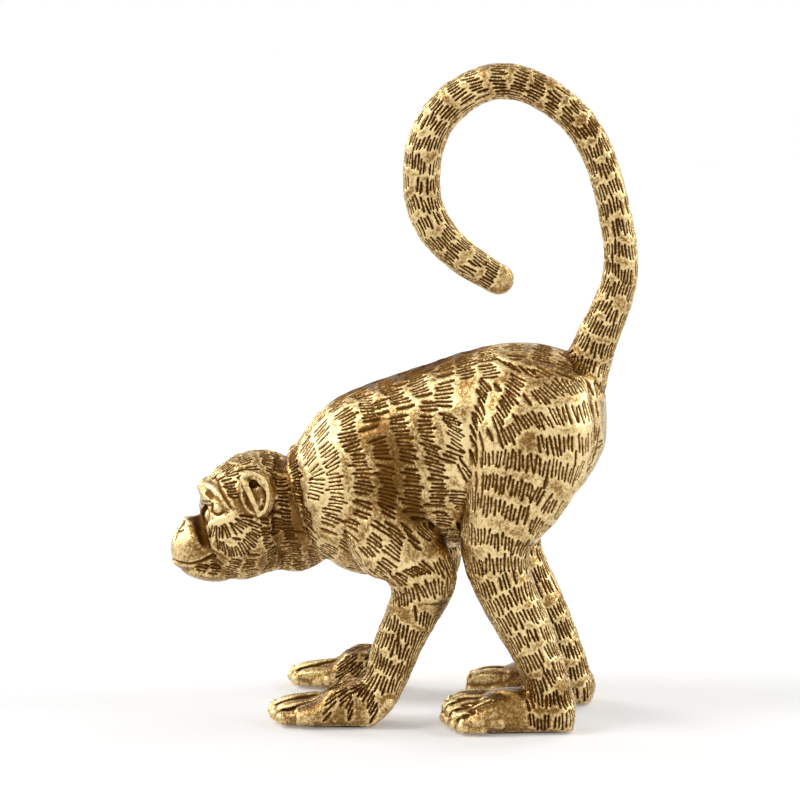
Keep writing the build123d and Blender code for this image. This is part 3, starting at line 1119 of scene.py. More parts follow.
    def model_ear(self, side: int, wax: Wax, marks: list[Mark], spots: list[Spot]) -> None:
        """Models the thick front bar, the rim, the pit and the fold of an ear."""
        bar = ((27.6, 22.6, 20.0), (26.0, 25.0, 16.8), (23.7, 25.7, 11.6), (21.4, 25.0, 6.1))
        wax.chain(self.line(side, *bar), (1.3, 1.5, 1.5, 1.1))
        rim = ((26.5, 23.4, 21.6), (23.5, 24.0, 22.3), (19.0, 25.6, 20.1), (17.4, 26.8, 16.1),
               (17.2, 26.8, 11.4), (18.5, 26.0, 6.6), (20.9, 25.0, 4.6))
        wax.chain(self.line(side, *rim), (1.3, 1.1, 1.0, 1.0, 1.0, 1.1, 1.1))
        bowl = self.line(side, (23.0, 22.0, 17.6), (21.2, 22.4, 12.5), (20.8, 22.4, 8.0))
        wax.chain(bowl, (2.6, 3.1, 2.5))
        wax.chain(self.line(side, (20.3, 22.0, 17.5), (19.2, 22.8, 12.5)), (2.8, 2.9))
        fold = self.line(side, (22.2, 24.6, 7.6), (20.4, 25.2, 9.0), (19.6, 25.6, 11.2))
        wax.chain(fold, (0.7, 0.8, 0.6))
        pit = self.line(side, (22.9, 24.0, 18.9), (22.0, 23.8, 17.8))
        marks.append(Mark(pit, 1.3 * MM, 1.8 * MM, 1.0))
        dimple = self.line(side, (24.9, 24.4, 19.9), (24.7, 24.4, 19.6))
        marks.append(Mark(dimple, 0.6 * MM, 0.7 * MM, 0.9))
        # Painted shade in the pit and around the head, painted highlight on the ear's front bar
        self.glaze_and_painted_light(
            side, spots,
            (22.4, 24.5, 18.4, 2.4, 0.8), (24.0, 27.0, 13.0, 3.5, -0.5),
            (15.5, 24.5, 14.0, 4.0, 0.5), (15.5, 22.0, 8.0, 4.0, 0.3), (10.0, 18.0, 12.0, 7.0, 0.2),
            (28.0, 8.0, 25.0, 8.0, 0.15), (15.0, 10.0, 26.0, 9.0, 0.25),
            (31.0, 18.0, 14.0, 6.0, 0.25), (20.0, 14.0, -17.0, 12.0, 0.3),
            (36.0, 12.0, -20.0, 11.0, 0.3), (9.0, 20.0, -2.0, 12.0, 0.25),
            (5.0, 10.0, 22.0, 9.0, 0.25))

    def fill_nape(self, wax: Wax) -> None:
        """Fills the valley between the back of the head and the neck."""
        for side in (1, -1):
            collar = ((9.5, 0, 17.5), (9.5, 7.5, 15.5), (9.5, 12.0, 10.0), (9.5, 13.8, 3.0),
                      (9.2, 13.4, -3.0), (8.5, 10.5, -9.0), (8.0, 4.0, -12.0))
            wax.chain(self.line(side, *collar), (6.5, 6.5, 6.5, 6.5, 6.2, 6.0, 6.0))
            for out, up in ((18.0, 3.0), (16.0, 12.0), (17.0, -5.0), (8.0, 20.0)):
                wax.calms.append(Calm(self.at(9.0, out * side, up), 11 * MM, 1.6 * MM))

    def comb(self, tooling: Tooling) -> None:
        """Lays the strokes of the cheeks, crown, jaw and neck."""
        fan = Comb(
            [], spacing=1.35 * MM, length=5.6 * MM, depth=0.42 * MM, half_width=0.42 * MM,
            clear=0.9 * MM)
        fur = Comb(
            [], spacing=1.4 * MM, length=4.6 * MM, depth=0.34 * MM, half_width=0.38 * MM,
            clear=1.6 * MM, wanted=self.has_fur)
        inner = ((40.9, 17.2, -3.3), (37.5, 19.1, -3.7), (32.7, 20.8, -2.5), (29.5, 21.7, -0.7),
                 (26.9, 22.2, 1.6), (25.9, 22.1, 4.6))
        outer = ((38.5, 18.6, -9.2), (34.2, 18.8, -11.5), (31.0, 19.4, -12.5), (26.9, 21.0, -10.3),
                 (23.3, 22.2, -6.2), (22.0, 22.8, -1.8), (22.0, 22.9, 1.2))
        for side in (1, -1):
            whorl = self.at(35.6, 16.0 * side, 5.0)
            fan.hair = partial(away_from, whorl)
            for path in (inner, outer):
                tooling.row(self.line(side, *path), fan)
            fur.hair = partial(self.hair, side)
            for path in self.rows:
                tooling.row(self.line(side, *path), fur)
        fur.stations = [
            Station(self.at(44.5, 0, 3.0), 19 * MM, 16 * MM),
            Station(self.at(38.0, 0, 2.0), 23 * MM, 19 * MM),
            Station(self.at(28.0, 0, 0.5), 29 * MM, 24 * MM),
            Station(self.at(18.0, 0, 0.5), 30 * MM, 25 * MM),
            station(-55.0, -2.0, 85.5, 29, 24), station(-43.0, 0.0, 88.0, 28, 24)]
        fur.period = 6.2 * MM
        fur.slack = 1.15
        fur.hair = self.near_hair
        tooling.comb(fur)

    def local(self, place: Vector) -> Vector:
        """Millimetres ahead of the neck, out to the left and up."""
        offset = (place - self.at(0, 0, 0)) / MM
        forward = (self.at(1, 0, 0) - self.at(0, 0, 0)).normalized()
        left = (self.at(0, 1, 0) - self.at(0, 0, 0)).normalized()
        return Vector((offset.dot(forward), offset.dot(left), offset.z))

    def near_hair(self, place: Vector) -> Vector:
        """Direction of the hair at a place on the side where it lies."""
        return self.hair(1 if self.local(place).y > 0 else -1, place)

    def hair(self, side: int, place: Vector) -> Vector:
        """Direction of the hair at a place on one side of the head."""
        ahead, out, up = self.local(place)
        run = Vector()
        for f, s, u, slope in self.signs:
            weight = 1 / ((ahead - f) ** 2 + (out * side - s) ** 2 + (up - u) ** 2 + 9) ** 2
            turn = math.radians(slope)
            run += Vector((-math.cos(turn), 0, -math.sin(turn))) * weight
        return (self.at(run.x, 0, run.z) - self.at(0, 0, 0)).normalized()

    def has_fur(self, place: Vector) -> bool:
        """Whether a place on the head is furred."""
        ahead, out, up = self.local(place)
        out = abs(out)
        on_ear = math.hypot(ahead - 20.5, up - 12.5) < 10.5 and out > 15
        on_face = ahead > 38.5 - 0.35 * out and -16 < up < 17
        on_cheek = ahead > 30.5 and -12 < up < 6 and out > 14
        return not (on_ear or on_face or on_cheek or ahead > 46)


@dataclass(frozen=True)
class Extremity:
    """Hand or foot, in millimetres ahead of its heel, towards the middle of the animal, and up.

    Attributes:
        heel: Its heel on the floor, on the animal's left.
        turn: Turn of its toes away from the middle, in degrees.
        side: Side of the animal.
        shift: How far back the right one stands.
        digits: For each digit, its place towards the middle, its reach, its top and its radius.
        tops: For stations back from the tip, the share of the top that the digit is high.
        split: Length of the grooves between the digits.
    """

    heel: Place
    turn: float
    side: Side
    shift: float
    digits: tuple[tuple[float, float, float, float], ...]
    tops: tuple[tuple[float, float], ...]
    split: float

    def at(self, ahead: float, inward: float, up: float) -> Vector:
        """Place on it."""
        turn = math.radians(self.turn)
        x = -ahead * math.cos(turn) - inward * math.sin(turn)
        y = -ahead * math.sin(turn) + inward * math.cos(turn)
        shift = self.shift if self.side is Side.RIGHT else 0.0
        place = mm(self.heel[0] + x + shift, self.heel[1] + y, self.heel[2] + up)
        place.y *= -self.side.value
        return place

    def build(self, wax: Wax, marks: list[Mark], dice: random.Random) -> None:
        """Models the digits, their nails and the grooves between them.

        Args:
            wax: Takes the raised forms.
            marks: Takes the cut lines.
            dice: Source of the unevenness.
        """
        shares = (1.0, 1.0, 0.97, 0.86, 0.60)[-len(self.tops):]
        for inward, reach, top, radius in self.digits:
            radii = [radius * share for share in shares]
            wax.chain([self.at(reach - back, inward, top * share - size)
                       for (back, share), size in zip(self.tops, radii)], radii)
            nail = self.at(reach - 2.3, inward, top * self.tops[-1][1] - 0.2)
            wax.bead(nail, 1.15)
            for _ in range(3):
                back = dice.uniform(3.5, 10.0)
                across = inward + dice.uniform(-2, 2)
                lump = self.at(reach - back, across, top * (0.96 - 0.012 * back))
                wax.bead(lump, dice.uniform(0.7, 1.1), 0.2)
        for (first, reach, top, _), (second, other, height, _) in zip(self.digits, self.digits[1:]):
            middle = (first + second) / 2
            end = min(reach, other) - 2.5
            low = min(top, height)
            start = end - self.split
            groove = [
                self.at(start, middle * 0.7, low * 1.15), self.at(start + 9, middle * 0.9, low),
                self.at(end - 6, middle, low * 0.75), self.at(end, middle, low * 0.5)]
            marks.append(Mark(groove, 0.85 * MM, 1.2 * MM, 1.0))


def hand_of(side: Side) -> Extremity:
    """Hand of one side."""
    return Extremity(
        (-4.1, -28.0, 1.0), 4.0, side, -ARM_LEAD,
        ((8.6, 46.0, 10.4, 4.1), (2.9, 49.2, 12.2, 4.0), (-2.8, 48.0, 10.6, 3.9),
         (-8.2, 44.2, 7.8, 3.7)),
        ((25.0, 1.05), (16.5, 0.95), (11.0, 0.88), (7.0, 0.78), (2.9, 0.58)), 21.0)


def foot_of(side: Side) -> Extremity:
    """Foot of one side."""
    return Extremity(
        (79.0, -21.0, 1.0), 7.0, side, FOOT_TRAIL,
        ((8.9, 56.6, 13.6, 4.4), (2.7, 58.2, 13.2, 4.2), (-2.2, 56.4, 12.2, 4.0),
         (-6.7, 54.2, 10.4, 3.7), (-10.4, 50.8, 8.4, 3.5)),
        ((18.0, 1.02), (11.0, 1.0), (6.5, 0.9), (2.7, 0.74)), 12.5)


@dataclass
class Casting:
    """One cast piece of the figurine.

    Attributes:
        node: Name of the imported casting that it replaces.
        neighbours: Castings that it is glued to.
        voxel: Spacing of its skin's vertices.
        lump: Height of the uneven, hand-modelled surface.
        lump_size: Distance between its swellings.
    """

    node: str
    neighbours: tuple[str, ...]
    voxel: float = PIECE_VOXEL
    lump: float = 0.30 * MM
    lump_size: float = 11.0 * MM

    def build(self, tooling: Tooling, wax: Wax, material: bpy.types.Material) -> None:
        """Makes the finished piece, which rides on the body and replaces its node.

        Args:
            tooling: Fur strokes and tool marks of the figure.
            wax: Modelled forms that are added to the castings' shells.
            material: The gilding.
        """
        seams = [Seam.of(node) for node in (self.neighbours if self.is_torso else (self.node,))]
        skin = self.cut_skin(wax, seams)
        body = Skin(skin, seams)
        self.swell(body)
        glaze_and_painted_light = tooling.carve(body)
        distance = tooling.groove(body, GATHER * self.voxel)
        body.store(COMB_MARK, distance)
        body.store(GLAZE_AND_PAINTED_LIGHT_MARK, glaze_and_painted_light)
        body.store(RELIEF_MARK, body.relief())
        body.places = np.clip(body.places, *cad_box)
        body.write()
        skin = thin_out(skin, MOST_TRIANGLES)
        skin.name = f"{self.node}_skin"
        skin.shade_smooth()
        skin.materials.clear()
        skin.materials.append(material)
        piece = add_object(f"{self.node}_cast", skin)
        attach(piece, BODY)
        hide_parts(self.node)
        log.info("%s: %d faces", piece.name, len(skin.polygons))

    @property
    def is_torso(self) -> bool:
        """Whether this is the casting that the others are glued to."""
        return self.node == "torso"

    def cut_skin(self, wax: Wax, seams: Sequence[Seam]) -> bpy.types.Mesh:
        """Makes the plain skin, one with its neighbours', and cuts it at the joints.

        Args:
            wax: Modelled forms that are added to the castings' shells.
            seams: The joints.

        Returns:
            The closed skin of this casting alone.
        """
        if self.is_torso:
            form = cast_copy((self.node, *self.neighbours, *pin_names()))
        else:
            stump = near_part(cast_copy(self.neighbours), seams[0], STUMP)
            form = cast_copy((self.node, *pin_names()))
            form.from_mesh(stump)
            bpy.data.meshes.remove(stump)
        wax.add_to(form)
        skin = one_skin(form, self.voxel)
        wax.work(skin, self.voxel)
        form = bmesh.new()
        form.from_mesh(skin)
        for seam in seams:
            cut_at(form, seam, keep_outer=self.is_torso)
        keep_largest(form)
        form.to_mesh(skin)
        form.free()
        return skin

    def swell(self, body: Skin) -> None:
        """Gives the skin the uneven surface of hand-modelled wax."""
        scale = 1 / self.lump_size
        heights = np.array([noise.noise(Vector(place) * scale) for place in body.places])
        body.places += body.normals() * (heights * self.lump)[:, None]


def pin_names() -> list[str]:
    """Names of the steel pins and the tail's wire."""
    return [name for name in sorted(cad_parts) if name.endswith(("_pin", "_wire"))]


class Value:
    """Socket of a node tree that Python's operators combine."""

    def __init__(self, finish: "Finish", socket: bpy.types.NodeSocket) -> None:
        """Wraps one output socket."""
        self.finish = finish
        self.socket = socket

    def math(self, operation: str, *others: "Value | float", clamp: bool = False) -> "Value":
        """Result of a Math node on this value and others."""
        settings = {"operation": operation, "use_clamp": clamp}
        node = self.finish.node("ShaderNodeMath", settings, dict(enumerate((self, *others))))
        return Value(self.finish, node.outputs[0])

    def __add__(self, other: "Value | float") -> "Value":
        """Sum."""
        return self.math("ADD", other)

    __radd__ = __add__

    def __mul__(self, other: "Value | float") -> "Value":
        """Product."""
        return self.math("MULTIPLY", other)

    __rmul__ = __mul__

    def __sub__(self, other: "Value | float") -> "Value":
        """Difference."""
        return self.math("SUBTRACT", other)

    def __rsub__(self, other: float) -> "Value":
        """Number minus this value."""
        return self.math("MULTIPLY", -1.0).math("ADD", other)

    def clamp(self) -> "Value":
        """This value kept from 0 to 1."""
        return self.math("ADD", 0.0, clamp=True)

    def ramp(self, low: float, high: float) -> "Value":
        """Smooth step from 0 at low to 1 at high."""
        node = self.finish.node("ShaderNodeMapRange", {"interpolation_type": "SMOOTHSTEP"},
                                {0: self, 1: low, 2: high, 3: 0.0, 4: 1.0})
        return Value(self.finish, node.outputs[0])


class Finish:
    """Node tree of a material, or of the world, that is put together by one node-making method."""

    def __init__(self, owner: bpy.types.Material | bpy.types.World) -> None:
        """Empties the tree of its owner."""
        owner.use_nodes = True
        self.owner = owner
        self.tree = owner.node_tree
        self.tree.nodes.clear()

    @classmethod
    def named(cls, name: str) -> "Finish":
        """Starts a new material."""
        return cls(bpy.data.materials.new(name))

    def node(self, kind: str, settings: dict[str, object] | None = None,
             inputs: dict[str | int, object] | None = None) -> bpy.types.Node:
        """Adds one node.

        Args:
            kind: The node's type.
            settings: Its properties, set first.
            inputs: Values or links of its sockets, by name or number.

        Returns:
            The node.
        """
        node = self.tree.nodes.new(kind)
        for key, value in (settings or {}).items():
            setattr(node, key, value)
        for key, value in (inputs or {}).items():
            if isinstance(value, Value):
                self.tree.links.new(value.socket, node.inputs[key])
            elif isinstance(value, bpy.types.NodeSocket):
                self.tree.links.new(value, node.inputs[key])
            else:
                node.inputs[key].default_value = value
        return node

    def attribute(self, name: str) -> Value:
        """Number kept on the vertices under a name."""
        node = self.node("ShaderNodeAttribute", {"attribute_name": name})
        return Value(self, node.outputs["Fac"])

    def grain(self, size: float, detail: float = 3.0, rough: float = 0.55) -> Value:
        """Noise of a given grain size on Object coordinates, from 0 to 1."""
        place = self.node("ShaderNodeTexCoord").outputs["Object"]
        noise_node = self.node("ShaderNodeTexNoise", None, {
            "Vector": place, "Scale": 1 / size, "Detail": detail, "Roughness": rough})
        return Value(self, noise_node.outputs["Fac"])

    def blend(self, share: Value, first: object, second: object) -> bpy.types.NodeSocket:
        """Colour mixed from two by a share."""
        node = self.node("ShaderNodeMix", {"data_type": "RGBA"}, {0: share, 6: first, 7: second})
        return node.outputs[2]

    def surface(self, inputs: dict[str, object]) -> bpy.types.Material:
        """Ends the material in a Principled shader."""
        shader = self.node("ShaderNodeBsdfPrincipled", None, inputs)
        self.node("ShaderNodeOutputMaterial", None, {"Surface": shader.outputs[0]})
        return self.owner

    def bump(self, height: Value, distance: float) -> bpy.types.NodeSocket:
        """Normal bent by a height from 0 to 1."""
        inputs = {"Strength": 1.0, "Distance": distance, "Height": height}
        return self.node("ShaderNodeBump", None, inputs).outputs[0]

    def seen(self) -> Value:
        """1 where the camera looks, straight, by a mirror or through glass."""
        path = self.node("ShaderNodeLightPath")
        seen = Value(self, path.outputs["Is Camera Ray"])
        for name in ("Is Glossy Ray", "Is Transmission Ray"):
            seen = seen.math("MAXIMUM", Value(self, path.outputs[name]))
        return seen


@dataclass(frozen=True)
class Gilding:
    """Gilt paint over resin with a dark glaze wiped into its hollows, and painted light and shade.

    Attributes:
        bared_and_highlit: Colour of gold bared by wear on the ridges, and of painted highlights
            there and in spots.
        bright: Colour of gold free of glaze.
        deep: Colour of gold under a thin glaze, and of painted shade in spots.
        glaze: Colour of the thick glaze in a stroke, and of painted shade in the darkest spots.
    """

    bared_and_highlit: Colour = (0.86, 0.665, 0.335, 1)
    bright: Colour = (0.405, 0.24, 0.079, 1)
    deep: Colour = (0.16, 0.075, 0.018, 1)
    glaze: Colour = (0.092, 0.036, 0.003, 1)

    def build(self) -> bpy.types.Material:
        """Makes the material."""
        paint = Finish.named("gilding")
        comb = paint.attribute(COMB_MARK)
        glaze_and_painted_light = paint.attribute(GLAZE_AND_PAINTED_LIGHT_MARK)
        relief = paint.attribute(RELIEF_MARK)
        blotch = paint.grain(8.0 * MM, 4.0)
        fleck = paint.grain(1.2 * MM, 4.0, 0.7)
        fine = paint.grain(0.5 * MM, 2.0)
        ink = (1 - comb.ramp(0.25, 1.35)) * (fleck * 0.9 + 0.4)
        band = 1 - comb.ramp(1.8, 4.2)
        hollow = (relief * -1).ramp(0.02, 0.24)
        # Ridges, bared by wear and made paler as painted highlights
        ridge_wear_and_highlight = relief.ramp(-0.04, 0.16)
        speck = fleck.ramp(0.40, 0.60)
        brown = blotch.ramp(0.32, 0.68) * 0.4 + band * 0.48 + speck * 0.6
        # Share of darker gold: glaze, random tone and the painted shade of the spots
        glaze_and_shade = (brown - ridge_wear_and_highlight * 0.5 + hollow * 0.4 + glaze_and_painted_light * 0.8).clamp()
        # Share of pale gold: wear and painted highlight on ridges and spots, with random blotches
        bare_and_highlit_share = ridge_wear_and_highlight * 0.9 + blotch.ramp(0.64, 0.34) * 0.35
        pale_wear_and_highlight = (bare_and_highlit_share - speck * 0.6 - band * 0.28 - glaze_and_painted_light).clamp()
        # Share of thick glaze: strokes, hollows and the painted shade of the darkest spots
        dark = (ink * 0.8 + hollow * 0.35 + (glaze_and_painted_light - 0.55).clamp() * 1.8).clamp()
        gold = paint.blend(pale_wear_and_highlight, paint.blend(glaze_and_shade, self.bright, self.deep), self.bared_and_highlit)
        colour = paint.blend(dark, gold, self.glaze)
        height = fine * 0.3 + fleck * 0.9 + comb.ramp(0.0, 2.2) * 1.3
        rough = fleck * 0.16 + dark * 0.25 + 0.2
        return paint.surface({
            "Base Color": colour, "Metallic": 1.0, "Roughness": rough,
            "Normal": paint.bump(height, 0.28 * MM)})


@dataclass(frozen=True)
class Felt:
    """Thin brown felt under the hands and feet."""

    light: Colour = (0.16, 0.10, 0.06, 1)
    dark: Colour = (0.07, 0.04, 0.025, 1)

    def build(self) -> bpy.types.Material:
        """Makes the material."""
        cloth = Finish.named("felt")
        fibre = cloth.grain(0.5 * MM, 5.0, 0.7)
        return cloth.surface({
            "Base Color": cloth.blend(fibre.ramp(0.3, 0.7), self.dark, self.light),
            "Roughness": fibre * 0.1 + 0.88, "Normal": cloth.bump(fibre, 0.2 * MM)})


@dataclass(frozen=True)
class Steel:
    """Brushed steel of the pins and the tail's wire."""

    light: Colour = (0.55, 0.54, 0.52, 1)
    dark: Colour = (0.34, 0.33, 0.32, 1)

    def build(self) -> bpy.types.Material:
        """Makes the material."""
        metal = Finish.named("pin_steel")
        brushed = metal.grain(0.8 * MM, 6.0, 0.75)
        return metal.surface({
            "Base Color": metal.blend(brushed.ramp(0.3, 0.7), self.dark, self.light),
            "Metallic": 1.0, "Roughness": brushed * 0.2 + 0.25,
            "Normal": metal.bump(brushed, 0.03 * MM)})


@dataclass(frozen=True)
class Floor:
    """Plain pale floor that keeps the object's shadow.

    Attributes:
        colour: Its colour.
        shade: Colour that it fades to in places.
        half_size: Half of its width.
        lift: White that it adds where the camera looks.
    """

    colour: Colour = (0.90, 0.90, 0.90, 1)
    shade: Colour = (0.88, 0.88, 0.88, 1)
    half_size: float = 6.0
    lift: float = 0.2

    def build(self) -> None:
        """Lays the floor."""
        paper = Finish.named("floor_paper")
        tone = paper.grain(0.9, 1.0)
        material = paper.surface({
            "Base Color": paper.blend(tone * 0.02, self.colour, self.shade), "Roughness": 1.0,
            "Specular IOR Level": 0.0, "Emission Color": (1, 1, 1, 1),
            "Emission Strength": paper.seen() * self.lift})
        form = bmesh.new()
        bmesh.ops.create_grid(form, x_segments=1, y_segments=1, size=self.half_size)
        floor = add_object("floor", mesh_of(form, "floor"))
        floor.data.materials.append(material)


@dataclass(frozen=True)
class Lamp:
    """Soft distant lamp.

    Attributes:
        name: Its name.
        azimuth: Where it stands, in degrees from the front towards the right.
        elevation: Its height in degrees.
        strength: Light on a surface that faces it.
        angle: Its apparent size in degrees.
    """

    name: str
    azimuth: float
    elevation: float
    strength: float
    angle: float

    def build(self) -> None:
        """Hangs the lamp."""
        light = bpy.data.lights.new(self.name, "SUN")
        light.energy = self.strength
        light.angle = math.radians(self.angle)
        holder = add_object(self.name, light)
        holder.rotation_euler = (math.radians(90 - self.elevation), 0, math.radians(self.azimuth))


@dataclass(frozen=True)
class Studio:
    """Camera, lamps, white surroundings and floor.

    Attributes:
        azimuth: Camera's turn to the object's right, in degrees.
        elevation: Camera's height in degrees.
        distance: Camera's distance from its target.
        target: Place that the picture is centred on.
        focal: Focal length in millimetres.
        sensor: Sensor width in millimetres.
        sky: Light of the surroundings on the object.
    """

    azimuth: float = 10.5
    elevation: float = 8.2
    distance: float = 0.9556
    target: Place = (-0.0012, 0.0, 0.136)
    focal: float = 100.0
    sensor: float = 36.0
    sky: float = 0.42

    def build(self) -> None:
        """Sets up everything but the object."""
        self.place_camera()
        self.light_surroundings()
        Floor().build()
        for lamp in (
            Lamp("key_lamp", -66, 42, 1.1, 24),
            Lamp("left_lamp", -112, 22, 0.95, 28),
            Lamp("right_lamp", 98, 28, 1.1, 24),
            Lamp("back_lamp", 150, 40, 0.45, 30),
        ):
            lamp.build()
        bpy.context.scene.view_settings.view_transform = "Standard"

    def place_camera(self) -> None:
        """Puts the camera where the photograph was taken from."""
        turn = math.radians(self.azimuth)
        rise = math.radians(self.elevation)
        level = math.cos(rise)
        back = Vector((math.sin(turn) * level, -math.cos(turn) * level, math.sin(rise)))
        data = bpy.data.cameras.new("camera")
        data.lens = self.focal
        data.sensor_width = self.sensor
        data.clip_start = 0.01
        camera = add_object("camera", data)
        camera.location = Vector(self.target) + back * self.distance
        camera.rotation_euler = (math.radians(90) - rise, 0, turn)
        bpy.context.scene.camera = camera

    def light_surroundings(self) -> None:
        """Makes white surroundings that light the object at a plain level."""
        air = Finish(bpy.data.worlds.new("studio"))
        level = air.node("ShaderNodeMapRange", None, {0: air.seen(), 3: self.sky}).outputs[0]
        white = {"Color": (1, 1, 1, 1), "Strength": level}
        background = air.node("ShaderNodeBackground", None, white)
        air.node("ShaderNodeOutputWorld", None, {"Surface": background.outputs[0]})
        bpy.context.scene.world = air.owner


